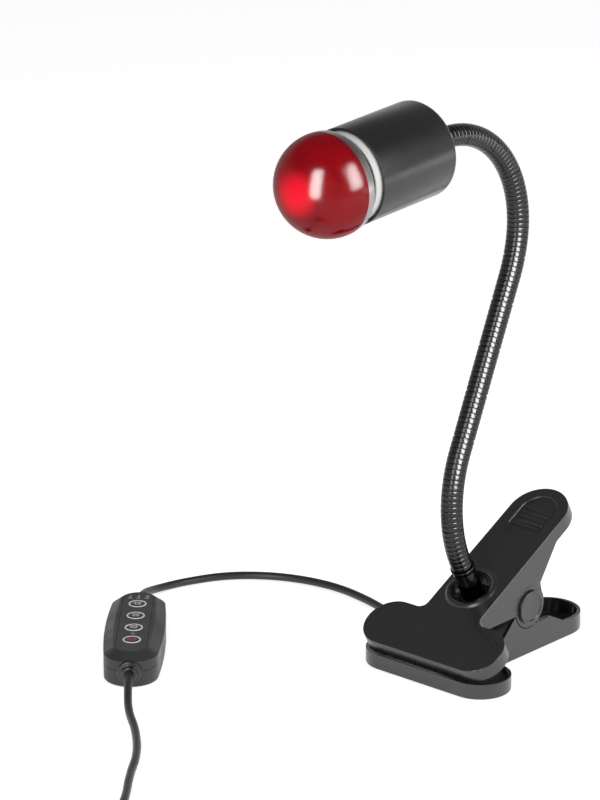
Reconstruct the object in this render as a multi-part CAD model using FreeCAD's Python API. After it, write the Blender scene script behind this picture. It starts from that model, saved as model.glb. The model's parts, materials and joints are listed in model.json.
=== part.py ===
import FreeCAD, Part

# Clip-on heat lamp: a spring clip, a bendable gooseneck, a cylindrical lamp head with a
# screw-in reflector bulb, and an inline timer on the mains lead.
# Millimetres, +Z up. The origin is on the clip's flat underside, below the centre of the
# T-shaped jaw. The jaws open towards -Y and the handles point to +Y.

import math
import os

V = FreeCAD.Vector
UP = V(0, 0, 1)
RIGHT = V(1, 0, 0)
FAR = 300.0  # longer than anything that a cutting tool has to pass through

# ---------------------------------------------------------------- driving dimensions
# clip, lower jaw
wall = 2.2
jaw_t_half = 51.4
lower_floor = 2.4
lower_front_y = -19.0
lower_lobe_r = 19.0
lower_t_half = jaw_t_half
lower_body_half = 20.6
lower_end_y = 104.2
lower_rim_h = 9.6
lower_handle_h = 11.0
lower_ramp_foot_y = 29.4
lower_shelf_y = 81.6
lower_shelf_h = 18.8
lower_shelf_drop_y = 96.5
neck_fillet = 5.0
bottom_round = 1.0

# clip, upper jaw: a plate that slopes up from the jaw to the handle
plate_pitch = 28.3
upper_front_y = -20.3
upper_front_z = 18.2
upper_lobe_r = 17.4
jaw_t_play = 0.2
upper_t_half = jaw_t_half - jaw_t_play
upper_neck_half = 20.8
upper_end_half = 20.2
upper_end_s = 127.4
upper_plate = 2.6
upper_rim = 9.0
skirt_low_z = 28.0
waist_y = 71.6
waist_z = 43.4
skirt_end_y = 86.8
plate_round = 0.7

# thumb recess on the upper handle
recess_s = 122.4
recess_half_long = 19.0
recess_half_wide = 12.8
recess_depth = 1.4
ridge_count = 5
ridge_pitch = 3.6
ridge_w = 1.5
ridge_h = 0.8

# hinge
hinge_y = 61.5
hinge_z = 30.8
hinge_pin_r = 2.5
hinge_clear = 0.05
ear_r = 13.2
ear_face_x = 20.7
ear_gap = 0.6
lug_out_x = 17.1
lug_w = 3.5
lug_r = 8.5
cap_r = 10.6
cap_h = 1.9

# torsion spring
spring_wire_r = 0.9
spring_mean_r = 5.6
spring_pitch = 2.1
spring_turns = 8
spring_low_angle = -40.0
spring_high_angle = 60.0
seat_gap = 0.3
leg_overlap = 0.6

# pads in the jaws
pad_play = 0.4
lower_pad_h = 5.2
upper_pad_h = 5.2

# well in the upper jaw that holds the gooseneck
well_s = 58.3
well_out_r = 15.0
well_in_r = 13.0
well_flare_r = 17.3
well_proud = 2.2
well_depth = 5.6
well_floor = 2.4

# gooseneck
hose_r = 6.7
hose_bore_r = 3.4
ferrule_r = 7.0
ferrule_h = 21.0
flange_r = 9.0
flange_h = 1.6
stud_r = 4.9
stud_clear = 0.1
stud_below = 16.0
nut_flats = 14.0
nut_h = 4.6
washer_h = 1.2
washer_r = 8.8
link_count = 12
link_gap = 0.9
link_bevel = 0.8
lower_bend_r = 82.3
lower_bend = 52.3
straight_run = 108.8
shoulder_r = 85.9
shoulder_bend = 16.4
crook_r = 66.7
crook_bend = 100.5
head_run = 11.5

# lamp head, measured along its axis from the rear face
collar_len = 9.0
housing_r = 28.9
housing_len = 64.1
housing_wall = 1.5
housing_back = 2.0
housing_round = 1.8
liner_r = 26.9
liner_wall = 1.2
liner_start = 10.0
liner_proud = 4.9
liner_end = housing_len + liner_proud
stud_inside = 9.1
bracket_r = 17.0
bracket_t = 1.6
bracket_at = 7.5
socket_r = 18.0
socket_len = 32.5
socket_base = 4.6
socket_bore_r = 14.4
shell_r = 14.2
shell_wall = 0.6
screw_pitch_r = 12.2
small_screw_r = 1.5
small_screw_head_r = 2.7
small_screw_head_h = 1.7

# bulb, measured on the same axis
globe_r = 30.8
globe_proud = 16.2
globe_at = housing_len + globe_proud
glass_wall = 1.2
flare_r = 24.0
flare_proud = 5.5
flare_at = housing_len + flare_proud
silver_proud = 15.5
silver_end = housing_len + silver_proud
silver_back = 7.5
bulb_neck_r = 13.6
bulb_neck_at = 41.0
bulb_waist_at = 58.0
bulb_waist_r = 18.5
cap_thread_r = 13.1
bulb_tip_at = 16.0
bulb_tip_r = 4.4
bulb_tip_h = 1.6

# inline timer, in its own frame: x across, y towards the lamp's cord, z up from the floor
timer_x = -159.0
timer_y = -97.0
timer_turn = 40.0
case_half = 18.25
case_shoulder = 16.6
case_shoulder_y = 38.5
case_end = 54.4
case_h = 20.8
case_split = 10.0
case_seam = 0.3
case_wall = 1.8
bevel_in = 6.0
bevel_drop = 4.4
base_round = 1.4
panel_half = 9.6
panel_half_long = 47.6
panel_t = 1.6
panel_ledge = 1.2
panel_gap = 0.25
button_r = 4.3
button_proud = 0.5
button_flange_r = 5.2
button_flange_h = 0.8
button_gap = 0.25
button_bottom = 17.0
button_ys = {"button_timer_1": 29.0, "button_timer_2": 9.6, "button_timer_3": -9.8, "button_power": -29.3}
ring_out_r = 5.55
ring_h = 0.35
ring_gap = 0.1
lens_r = 1.4
lens_proud = 0.15
lens_len = 2.8
lens_places = [(-5.2, 38.6), (0.0, 38.6), (5.2, 38.6), (0.0, -19.4)]
board_half = 9.2
board_half_long = 44.0
board_z = 11.2
board_t = 1.6
switch_half = 3.0
switch_h = 3.0
plunger_r = 1.7
plunger_h = 0.5
relay_size = (12.6, 7.6, 5.2)
relay_y = -39.0
case_screw_x = 13.0
case_screw_y = 31.0
case_screw_r = 1.4
case_screw_head_r = 2.6
case_screw_head_h = 1.8
case_screw_len = 12.6
post_r = 3.4
gland_wide_r = 7.2
gland_wide_end = 56.2
gland_seat = 50.6
gland_narrow_r = 4.75
gland_len = 59.7
gland_neck_r = 4.6
gland_inner = 46.4

# mains lead
cord_r = 2.5
floor_z = 2.6
relief_y = 45.4
relief_z = 8.4
relief_hole_r = 4.0
relief_flange_r = 5.4
relief_tip_r = 3.1
relief_len = 22.0
relief_flange_t = 1.5
seat_clear = 0.05
coil_x = 44.0
coil_y = -306.0
coil_mean_r = 27.5
coil_wide = 15.0
coil_high = 10.4
end_gap = 0.25
plug_half = 17.6
plug_thick = 13.7
plug_len = 34.0
plug_back_half = 8.0
plug_pin_r = 2.0
plug_pin_len = 19.0
plug_pin_spacing = 18.6
plug_pin_in = 6.0
plug_pin_root_r = 2.4
plug_pin_tip = 1.2
plug_relief = 12.0
lead_drop = 36.0
coil_entry = 22.7
slack_drop = (42.9, 18.4)
slack_turn = (4.2, 44.9, 12.1)
slack_run = 11.3
gland_pocket = 20.0
foot_gap = 3.85
stem_r = 4.5
stem_top_r = 2.5
filament_proud = 13.9
filament_at = housing_len + filament_proud
filament_half = 4.0
filament_r = 0.9
support_r = 0.5
support_x = 1.8


# ---------------------------------------------------------------- helpers
os.makedirs("parts", exist_ok=True)


def save(name, shape):
    """Write one node, and say how big it is."""
    shape = shape.removeSplitter()
    shape.exportStep("parts/" + name + ".step")
    print(f"{name}: solids {len(shape.Solids)}, volume {shape.Volume:.1f}, valid {shape.isValid()}")


def cyl(radius, length, base, along=UP):
    return Part.makeCylinder(radius, length, base, along)


def tube(outer, inner, length, base, along=UP):
    long_bore = cyl(inner, length + 2, base - V(along).normalize(), along)
    return cyl(outer, length, base, along).cut(long_bore)


def box_of(low, high):
    return Part.makeBox(high[0] - low[0], high[1] - low[1], high[2] - low[2], V(*low))


def rounded_wire(corners):
    """A closed wire through corners (point, radius), with each corner rounded to its radius."""
    ends = []
    count = len(corners)
    for i, (point, radius) in enumerate(corners):
        before = corners[i - 1][0] - point
        after = corners[(i + 1) % count][0] - point
        before.normalize()
        after.normalize()
        if radius == 0:
            ends.append((point, None, point))
            continue
        half = before.getAngle(after) / 2
        inwards = before + after
        inwards.normalize()
        reach = radius / math.tan(half)
        middle = point + inwards * (radius / math.sin(half) - radius)
        ends.append((point + before * reach, middle, point + after * reach))
    edges = []
    for i, (start, middle, end) in enumerate(ends):
        if middle is not None:
            edges.append(Part.Arc(start, middle, end).toShape())
        following = ends[(i + 1) % count][0]
        if end.distanceToPoint(following) > 1e-6:
            edges.append(Part.LineSegment(end, following).toShape())
    return Part.Wire(edges)


def turned(profile, origin, axis):
    """A solid of revolution from a closed profile of (radius, distance along the axis, rounding)."""
    wire = rounded_wire([(V(r, 0, d), rounding) for r, d, rounding in profile])
    solid = Part.Face(wire).revolve(V(0, 0, 0), UP, 360)
    solid.Placement = FreeCAD.Placement(origin, FreeCAD.Rotation(UP, axis))
    return solid


def side_slab(points, half_width):
    """A slab across the whole width, from an outline of (y, z) points."""
    face = Part.Face(Part.makePolygon([V(-half_width, y, z) for y, z in points + points[:1]]))
    return face.extrude(V(2 * half_width, 0, 0))


def jaw_outline(lobe_r, t_half, neck_half, end_half, end_s):
    """T-shaped plate in its own plane: lobed bar at the front, handle with a round end."""
    lobe_x = t_half - lobe_r
    back = 2 * lobe_r
    turn = neck_fillet * (1 - math.sqrt(0.5))

    def side(sign):
        return [
            Part.Arc(V(sign * lobe_x, 0, 0), V(sign * t_half, lobe_r, 0), V(sign * lobe_x, back, 0)),
            Part.LineSegment(V(sign * lobe_x, back, 0), V(sign * (neck_half + neck_fillet), back, 0)),
            Part.Arc(
                V(sign * (neck_half + neck_fillet), back, 0),
                V(sign * (neck_half + turn), back + turn, 0),
                V(sign * neck_half, back + neck_fillet, 0),
            ),
            Part.LineSegment(V(sign * neck_half, back + neck_fillet, 0), V(sign * end_half, end_s, 0)),
        ]

    curves = [Part.LineSegment(V(-lobe_x, 0, 0), V(lobe_x, 0, 0))]
    curves += side(1) + side(-1)
    curves.append(Part.Arc(V(end_half, end_s, 0), V(0, end_s + end_half, 0), V(-end_half, end_s, 0)))
    edges = Part.__sortEdges__([curve.toShape() for curve in curves])
    return Part.Face(Part.Wire(edges))


def stadium(half_wide, half_long, centre_y=0.0, z=0.0):
    """A flat bar with round ends, lying along x."""
    reach = half_long - half_wide
    edges = [
        Part.LineSegment(V(-reach, centre_y - half_wide, z), V(reach, centre_y - half_wide, z)),
        Part.Arc(
            V(reach, centre_y - half_wide, z),
            V(half_long, centre_y, z),
            V(reach, centre_y + half_wide, z),
        ),
        Part.LineSegment(V(reach, centre_y + half_wide, z), V(-reach, centre_y + half_wide, z)),
        Part.Arc(
            V(-reach, centre_y + half_wide, z),
            V(-half_long, centre_y, z),
            V(-reach, centre_y - half_wide, z),
        ),
    ]
    return Part.Face(Part.Wire([edge.toShape() for edge in edges]))


def hexagon(across_flats, height, base, along):
    """A hexagonal nut's blank."""
    corner_r = across_flats / math.sqrt(3)
    points = [V(corner_r * math.cos(math.radians(a)), corner_r * math.sin(math.radians(a)), 0) for a in range(0, 361, 60)]
    blank = Part.Face(Part.makePolygon(points)).extrude(V(0, 0, height))
    blank.Placement = FreeCAD.Placement(base, FreeCAD.Rotation(UP, along))
    return blank


def edges_at_height(shape, z):
    return [e for e in shape.Edges if all(abs(v.Z - z) < 1e-4 for v in e.Vertexes)]


# ---------------------------------------------------------------- lower jaw
hinge = V(0, hinge_y, hinge_z)
scallop_r = ear_r + ear_gap
ramp_top_y = hinge_y - scallop_r


def lower_jaw():
    outline = jaw_outline(lower_lobe_r, lower_t_half, lower_body_half, lower_body_half, lower_end_y - lower_front_y)
    outline.translate(V(0, lower_front_y, 0))
    block = outline.extrude(V(0, 0, hinge_z))
    block = block.makeFillet(bottom_round, edges_at_height(block, 0))
    cavity = outline.makeOffset2D(-wall).extrude(V(0, 0, FAR))
    cavity.translate(V(0, 0, lower_floor))
    end_y = lower_end_y + lower_body_half + 1
    below_top = side_slab(
        [
            (lower_front_y - 1, -1),
            (lower_front_y - 1, lower_rim_h),
            (lower_ramp_foot_y, lower_rim_h),
            (ramp_top_y, skirt_low_z - ear_gap),
            (hinge_y, skirt_low_z - ear_gap),
            (hinge_y, lower_shelf_h),
            (lower_shelf_y, lower_shelf_h),
            (lower_shelf_drop_y, lower_handle_h),
            (end_y, lower_handle_h),
            (end_y, -1),
        ],
        FAR,
    )
    shell = block.common(below_top).cut(cavity)
    shell = shell.cut(cyl(scallop_r, 2 * FAR, hinge - RIGHT * FAR, RIGHT))
    for side in (-1, 1):
        inner_x = min(side * lug_out_x, side * (lug_out_x - lug_w))
        post = box_of(
            (inner_x, hinge_y - lug_r, lower_floor),
            (inner_x + lug_w, hinge_y + lug_r, hinge_z),
        )
        eye = cyl(lug_r, lug_w, V(inner_x, hinge_y, hinge_z), RIGHT)
        shell = shell.fuse(post.fuse(eye))
    floor_patch = cyl(scallop_r, 2 * lug_out_x, hinge - RIGHT * lug_out_x, RIGHT).common(
        box_of((-lug_out_x, 0, 0), (lug_out_x, FAR, lower_floor))
    )
    shell = shell.fuse(floor_patch)
    shell = shell.cut(cyl(hinge_pin_r, 2 * FAR, hinge - RIGHT * FAR, RIGHT))
    shell = shell.cut(cyl(relief_hole_r, lower_body_half, V(-lower_body_half - 1, relief_y, relief_z), RIGHT))
    return shell


def lower_pad():
    half = lower_lobe_r - wall - pad_play
    pad = stadium(half, lower_t_half - wall - pad_play).extrude(V(0, 0, lower_pad_h))
    pad.translate(V(0, lower_front_y + lower_lobe_r, lower_floor))
    grooves = [
        box_of((x - 0.8, -FAR, lower_floor + lower_pad_h - 1.0), (x + 0.8, FAR, FAR))
        for x in range(-40, 41, 8)
    ]
    return pad.cut(Part.makeCompound(grooves))


# ---------------------------------------------------------------- upper jaw
pitch = math.radians(plate_pitch)
plate_front = V(0, upper_front_y, upper_front_z)
along_plate = V(0, math.cos(pitch), math.sin(pitch))
plate_normal = V(0, -math.sin(pitch), math.cos(pitch))


def on_plate(s, n, x=0.0):
    """A world point from its place on the sloping plate: s up the slope, n out of the surface."""
    return plate_front + RIGHT * x + along_plate * s + plate_normal * n


def tilt(shape):
    """Carry a shape from the plate's own frame to its place on the clip."""
    placed = shape.copy()
    placed.rotate(V(0, 0, 0), RIGHT, plate_pitch)
    placed.translate(plate_front)
    return placed


def upper_contour():
    """Outline of the side view, open to the top: rim, level skirt, ear and tapering handle."""
    rim_start = on_plate(-5, -upper_rim)
    slope = math.tan(pitch)
    level_y = rim_start.y + (skirt_low_z - rim_start.z) / slope
    skirt_end_z = rim_start.z + (skirt_end_y - rim_start.y) * slope
    rim_end = on_plate(upper_end_s + upper_end_half + 5, -upper_rim)
    return [
        (rim_start.y, rim_start.z),
        (level_y, skirt_low_z),
        (hinge_y - ear_r, skirt_low_z),
        (hinge_y - ear_r, hinge_z),
        (hinge_y + ear_r, hinge_z),
        (waist_y, waist_z),
        (skirt_end_y, skirt_end_z),
        (rim_end.y, rim_end.z),
        (rim_end.y, FAR),
        (rim_start.y, FAR),
    ]


def thumb_recess():
    """Pocket for the thumb, less the ridges that stay standing in it."""
    pocket = stadium(recess_half_wide, recess_half_long).extrude(V(0, 0, FAR))
    pocket.rotate(V(0, 0, 0), UP, 90)
    pocket.translate(V(0, recess_s, -recess_depth))
    floor_edges = edges_at_height(pocket, -recess_depth)
    pocket = pocket.makeFillet(recess_depth * 0.8, floor_edges)
    ridges = []
    for i in range(ridge_count):
        s = recess_s + (i - (ridge_count - 1) / 2) * ridge_pitch
        ridges.append(
            box_of(
                (-recess_half_wide + 2.4, s - ridge_w / 2, -recess_depth - 1),
                (recess_half_wide - 2.4, s + ridge_w / 2, -recess_depth + ridge_h),
            )
        )
    return pocket.cut(Part.makeCompound(ridges))


def upper_jaw():
    outline = jaw_outline(upper_lobe_r, upper_t_half, upper_neck_half, upper_end_half, upper_end_s)
    block = outline.extrude(V(0, 0, -FAR / 3))
    block = block.makeFillet(plate_round, edges_at_height(block, 0))
    cavity = outline.makeOffset2D(-wall).extrude(V(0, 0, -FAR))
    cavity.translate(V(0, 0, -upper_plate))
    well_block = cyl(well_out_r, well_depth + well_floor, V(0, well_s, -well_depth - well_floor))
    flare = Part.makeCone(well_flare_r, well_out_r, well_proud, V(0, well_s, 0))
    well_hole = cyl(well_in_r, FAR, V(0, well_s, -well_depth))
    stud_hole = cyl(stud_r + stud_clear, FAR, V(0, well_s, -FAR / 2))
    shell = tilt(block).common(side_slab(upper_contour(), FAR)).cut(tilt(cavity))
    shell = shell.fuse(tilt(well_block.fuse(flare)))
    shell = shell.cut(tilt(well_hole.fuse(stud_hole).fuse(thumb_recess())))
    for side in (-1, 1):
        inner_x = side * (lug_out_x + ear_gap * 0.7)
        boss = cyl(ear_r, ear_face_x - abs(inner_x), V(inner_x, hinge_y, hinge_z), RIGHT * side)
        shell = shell.fuse(boss)
    shell = shell.cut(cyl(hinge_pin_r + hinge_clear, 2 * FAR, hinge - RIGHT * FAR, RIGHT))
    return shell


def upper_pad():
    half = upper_lobe_r - wall - pad_play
    pad = stadium(half, upper_t_half - wall - pad_play, upper_lobe_r).extrude(V(0, 0, -upper_pad_h))
    pad.translate(V(0, 0, -upper_plate))
    return tilt(pad)


# ---------------------------------------------------------------- hinge pieces
def pivot_cap(side):
    disc = turned(
        [(0, 0, 0), (cap_r, 0, 0), (cap_r, cap_h, 0.7), (cap_r - 2.2, cap_h, 0.2), (cap_r - 2.6, cap_h - 0.5, 0.2), (0, cap_h - 0.5, 0)],
        V(side * ear_face_x, hinge_y, hinge_z),
        RIGHT * side,
    )
    stub_len = ear_face_x - pin_half - 0.1
    return disc.fuse(cyl(hinge_pin_r, stub_len, V(side * ear_face_x, hinge_y, hinge_z), RIGHT * -side))


pin_half = ear_face_x - 1.4


def torsion_spring():
    """Coil round the pin, with one leg on the lower tray and one under the upper handle."""
    # angles are in the side view, from +Y towards +Z; each leg leaves the coil along its tangent
    start_angle = spring_high_angle + 90
    end_angle = spring_low_angle - 90 + 360
    turns = spring_turns + (end_angle - start_angle) / 360
    length = spring_pitch * turns
    helix = Part.makeHelix(spring_pitch, length, spring_mean_r)
    section = Part.Wire(Part.makeCircle(spring_wire_r, V(spring_mean_r, 0, 0), V(0, 1, 0)))
    coil = Part.Wire(helix).makePipeShell([section], True, True)
    finish = math.radians(360 * turns)
    end = V(spring_mean_r * math.cos(finish), spring_mean_r * math.sin(finish), length)
    tip_room = seat_gap + spring_wire_r
    low_drop = hinge_z + spring_mean_r * math.sin(math.radians(end_angle)) - lower_floor - tip_room
    low_leg = low_drop / math.sin(math.radians(-spring_low_angle))
    leg_root = V(0, hinge_y, hinge_z) + V(0, math.cos(math.radians(start_angle)), math.sin(math.radians(start_angle))) * spring_mean_r
    plate_room = (on_plate(0, -upper_plate) - leg_root).dot(plate_normal) - tip_room
    high_leg = plate_room / math.sin(math.radians(spring_high_angle - plate_pitch))
    along_end = V(-math.sin(finish), math.cos(finish), 0)
    spring = coil.fuse(cyl(spring_wire_r, high_leg + leg_overlap, V(spring_mean_r, leg_overlap, 0), V(0, -1, 0)))
    spring = spring.fuse(cyl(spring_wire_r, low_leg + leg_overlap, end - along_end * leg_overlap, along_end))
    spring.translate(V(0, 0, -length / 2))
    spring.rotate(V(0, 0, 0), UP, start_angle)
    spring.rotate(V(0, 0, 0), V(1, 1, 1), 120)
    spring.translate(hinge)
    return spring


# ---------------------------------------------------------------- gooseneck centreline
def heading(angle):
    """Unit direction in the plane x = 0, as an angle from straight up towards +Y."""
    return V(0, math.sin(math.radians(angle)), math.cos(math.radians(angle)))


neck_pieces = [
    (math.radians(lower_bend) * lower_bend_r, lower_bend),
    (straight_run, 0.0),
    (math.radians(shoulder_bend) * shoulder_r, -shoulder_bend),
    (math.radians(crook_bend) * crook_r, -crook_bend),
    (head_run, 0.0),
]
neck_length = sum(length for length, turn in neck_pieces)
neck_start = on_plate(well_s, ferrule_h)


def neck_at(distance):
    """Centre point and direction angle at a distance along the gooseneck."""
    point = V(neck_start)
    angle = -plate_pitch
    for length, turn in neck_pieces:
        step = min(distance, length)
        part_turn = turn * step / length
        if turn == 0:
            point = point + heading(angle) * step
        else:
            chord = 2 * (step / math.radians(part_turn)) * math.sin(math.radians(part_turn) / 2) if step > 1e-9 else 0
            point = point + heading(angle + part_turn / 2) * chord
        angle += part_turn
        distance -= step
        if distance <= 1e-9:
            break
    return point, angle


def neck_path(start, end):
    """Wire of lines and arcs along the gooseneck between two distances."""
    marks = [start]
    total = 0.0
    for length, turn in neck_pieces:
        total += length
        if start + 1e-6 < total < end - 1e-6:
            marks.append(total)
    marks.append(end)
    edges = []
    for a, b in zip(marks, marks[1:]):
        first, first_angle = neck_at(a)
        last, last_angle = neck_at(b)
        middle, _ = neck_at((a + b) / 2)
        if abs(first_angle - last_angle) < 1e-6:
            edges.append(Part.LineSegment(first, last).toShape())
        else:
            edges.append(Part.Arc(first, middle, last).toShape())
    return Part.Wire(edges)


def swept(path, radius, start, direction):
    ring = Part.Wire(Part.makeCircle(radius, start, direction))
    return path.makePipeShell([ring], True, False)


def neck_link(start, end):
    """One short length of hose, with its end edges bevelled so that it can tilt."""
    path = neck_path(start, end)
    first, angle = neck_at(start)
    link = swept(path, hose_r, first, heading(angle))
    rims = [e for e in link.Edges if abs(e.Length - 2 * math.pi * hose_r) < 1e-3 and len(e.Vertexes) == 1]
    rims = [e for e in rims if min(neck_at(start)[0].distanceToPoint(e.CenterOfMass), neck_at(end)[0].distanceToPoint(e.CenterOfMass)) < 1e-3]
    link = link.makeChamfer(link_bevel, rims)
    return link.cut(swept(path, hose_bore_r, first, heading(angle)))


link_step = (neck_length + link_gap) / link_count
neck_joints = [i * link_step - link_gap / 2 for i in range(link_count + 1)]


# ---------------------------------------------------------------- lamp head
neck_end, head_angle = neck_at(neck_length)
head_axis = heading(head_angle)
head_back = neck_end + head_axis * (link_gap + collar_len)


def on_axis(d):
    return head_back + head_axis * d


def base_ferrule():
    foot = on_plate(well_s, -well_depth)
    stud_foot = on_plate(well_s, -stud_below)
    solid = cyl(flange_r, flange_h, foot, plate_normal)
    solid = solid.fuse(cyl(ferrule_r, well_depth + ferrule_h - link_gap, foot, plate_normal))
    solid = solid.fuse(cyl(stud_r, stud_below - well_depth, stud_foot, plate_normal))
    bore = cyl(hose_bore_r, FAR, on_plate(well_s, -FAR / 2), plate_normal)
    return solid.cut(bore)


def base_washer():
    foot = on_plate(well_s, -well_depth - well_floor - washer_h)
    return tube(washer_r, stud_r + stud_clear, washer_h, foot, plate_normal)


def base_nut():
    foot = on_plate(well_s, -well_depth - well_floor - washer_h - nut_h)
    bore = cyl(stud_r + stud_clear / 2, FAR, on_plate(well_s, -FAR / 2), plate_normal)
    return hexagon(nut_flats, nut_h, foot, plate_normal).cut(bore)


def head_ferrule():
    solid = cyl(ferrule_r, collar_len, on_axis(-collar_len), head_axis)
    solid = solid.fuse(cyl(flange_r, flange_h, on_axis(-flange_h), head_axis))
    solid = solid.fuse(cyl(stud_r, stud_inside, on_axis(0), head_axis))
    return solid.cut(cyl(hose_bore_r, FAR, on_axis(-FAR / 2), head_axis))


def head_nut():
    bore = cyl(stud_r + stud_clear / 2, FAR, on_axis(-FAR / 2), head_axis)
    return hexagon(nut_flats, nut_h, on_axis(housing_back), head_axis).cut(bore)


def lamp_housing():
    inner_r = housing_r - housing_wall
    hole_r = stud_r + stud_clear
    return turned(
        [
            (hole_r, 0, 0),
            (housing_r, 0, housing_round),
            (housing_r, housing_len, 0.3),
            (inner_r, housing_len, 0.3),
            (inner_r, housing_back, 0.8),
            (hole_r, housing_back, 0),
        ],
        head_back,
        head_axis,
    )


def heat_liner():
    inner_r = liner_r - liner_wall
    lip_r = socket_r + seat_clear
    return turned(
        [
            (lip_r, liner_start, 0),
            (liner_r, liner_start, 0.6),
            (liner_r, liner_end, 0.5),
            (inner_r, liner_end, 0.5),
            (inner_r, liner_start + liner_wall, 0.3),
            (lip_r, liner_start + liner_wall, 0),
        ],
        head_back,
        head_axis,
    )


def screw_places():
    return [on_axis(0) + RIGHT * (side * screw_pitch_r) for side in (-1, 1)]


def socket_bracket():
    disc = cyl(bracket_r, bracket_t, on_axis(bracket_at), head_axis)
    disc = disc.cut(cyl(stud_r + stud_clear / 2, FAR, on_axis(0), head_axis))
    for place in screw_places():
        disc = disc.cut(cyl(small_screw_r + stud_clear, FAR, place, head_axis))
    return disc


socket_at = bracket_at + bracket_t
screw_deep = 4.2


def socket_body():
    body = turned(
        [
            (0, socket_at, 0),
            (socket_r, socket_at, 1.0),
            (socket_r, socket_at + socket_len, 0.8),
            (socket_bore_r, socket_at + socket_len, 0.4),
            (socket_bore_r, socket_at + socket_base, 0),
            (0, socket_at + socket_base, 0),
        ],
        head_back,
        head_axis,
    )
    for place in screw_places():
        body = body.cut(cyl(small_screw_r, screw_deep, place + head_axis * socket_at, head_axis))
    return body


def socket_shell():
    start = socket_at + socket_base + 0.6
    return tube(shell_r, shell_r - shell_wall, socket_len - socket_base - 2.0, on_axis(start), head_axis)


def centre_contact():
    start = socket_at + socket_base
    return cyl(4.0, 0.5, on_axis(start), head_axis).fuse(cyl(2.0, bulb_tip_at - start - 0.3, on_axis(start), head_axis))


def socket_screws():
    screws = []
    for place in screw_places():
        head = cyl(small_screw_head_r, small_screw_head_h, place + head_axis * (bracket_at - small_screw_head_h), head_axis)
        shank = cyl(small_screw_r, bracket_t + screw_deep - 1.0, place + head_axis * bracket_at, head_axis)
        screws.append(head.fuse(shank))
    return Part.makeCompound(screws)


# ---------------------------------------------------------------- bulb
def globe_radius(d, wall=0.0):
    """Radius of the ball's outer face, or of its inner face, at a distance along the axis."""
    return math.sqrt((globe_r - wall) ** 2 - (d - globe_at) ** 2)


def bulb_globe():
    """Front of the glass envelope: a dome with an even wall."""
    inside = globe_r - glass_wall
    start = silver_end
    outer_start = V(globe_radius(start), 0, start)
    inner_start = V(globe_radius(start, glass_wall), 0, start)
    edges = [
        Part.Arc(outer_start, V(globe_r * math.sin(0.9), 0, globe_at + globe_r * math.cos(0.9)), V(0, 0, globe_at + globe_r)),
        Part.LineSegment(V(0, 0, globe_at + globe_r), V(0, 0, globe_at + inside)),
        Part.Arc(V(0, 0, globe_at + inside), V(inside * math.sin(0.9), 0, globe_at + inside * math.cos(0.9)), inner_start),
        Part.LineSegment(inner_start, outer_start),
    ]
    face = Part.Face(Part.Wire([edge.toShape() for edge in edges]))
    solid = face.revolve(V(0, 0, 0), UP, 360)
    solid.Placement = FreeCAD.Placement(head_back, FreeCAD.Rotation(UP, head_axis))
    return solid


def bulb_reflector():
    """Silvered part of the envelope, from the cap over the ball's shoulder to the dome."""
    back = globe_at - silver_back
    middle = globe_at - silver_back / 2
    return turned(
        [
            (bulb_neck_r, bulb_neck_at, 0),
            (bulb_neck_r, bulb_neck_at + 5, 6),
            (bulb_waist_r, bulb_waist_at, 8),
            (flare_r, flare_at, 4),
            (globe_radius(back), back, 1.5),
            (globe_radius(middle), middle, 0),
            (globe_radius(silver_end), silver_end, 0),
            (globe_radius(silver_end, glass_wall), silver_end, 0),
            (globe_radius(middle, glass_wall), middle, 0),
            (globe_radius(back, glass_wall), back + glass_wall / 2, 1),
            (flare_r - glass_wall, flare_at + glass_wall / 2, 3),
            (bulb_waist_r - glass_wall, bulb_waist_at + 0.4, 6),
            (bulb_neck_r - glass_wall, bulb_neck_at + 5, 4),
            (bulb_neck_r - glass_wall, bulb_neck_at, 0),
        ],
        head_back,
        head_axis,
    )


def bulb_cap():
    return turned(
        [
            (0, bulb_tip_at + bulb_tip_h, 0),
            (bulb_tip_r + 1, bulb_tip_at + bulb_tip_h, 0),
            (cap_thread_r, bulb_tip_at + bulb_tip_h + 4.5, 1.5),
            (cap_thread_r, bulb_neck_at, 0),
            (cap_thread_r - 1, bulb_neck_at, 0),
            (cap_thread_r - 1, bulb_tip_at + bulb_tip_h + 6, 1),
            (0, bulb_tip_at + bulb_tip_h + 2.5, 0),
        ],
        head_back,
        head_axis,
    )


def bulb_contact():
    return cyl(bulb_tip_r, bulb_tip_h, on_axis(bulb_tip_at), head_axis)


def filament_stem():
    """Glass stem with its two support wires and the filament between them."""
    foot = bulb_tip_at + bulb_tip_h + foot_gap
    stem = turned(
        [
            (0, foot, 0),
            (stem_r, foot, 0),
            (stem_r, bulb_neck_at, 3),
            (stem_top_r, bulb_waist_at, 2),
            (0, bulb_waist_at, 0),
        ],
        head_back,
        head_axis,
    )
    root = bulb_waist_at - stem_top_r
    wires = [
        cyl(support_r, filament_at - root, on_axis(root) + RIGHT * x, head_axis)
        for x in (-support_x, support_x)
    ]
    bar = cyl(filament_r, 2 * filament_half, on_axis(filament_at) - RIGHT * filament_half, RIGHT)
    for wire in wires:
        stem = stem.fuse(wire)
    return stem.fuse(bar)


# ---------------------------------------------------------------- inline timer
def case_outline(inset, z):
    """Case outline: gently bowed sides and round ends, drawn in by inset."""
    shoulder = case_shoulder - inset
    middle = case_half - inset
    end = case_end - inset
    corners = [V(shoulder, -case_shoulder_y, z), V(shoulder, case_shoulder_y, z)]
    corners += [V(-shoulder, case_shoulder_y, z), V(-shoulder, -case_shoulder_y, z)]
    through = [V(middle, 0, z), V(0, end, z), V(-middle, 0, z), V(0, -end, z)]
    edges = [Part.Arc(corners[i], through[i], corners[(i + 1) % 4]).toShape() for i in range(4)]
    return Part.Wire(edges)


def case_block(inset, low, high):
    return Part.Face(case_outline(inset, low)).extrude(V(0, 0, high - low))


def at_timer(shape):
    placed = shape.copy()
    placed.rotate(V(0, 0, 0), UP, timer_turn)
    placed.translate(V(timer_x, timer_y, 0))
    return placed


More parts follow.
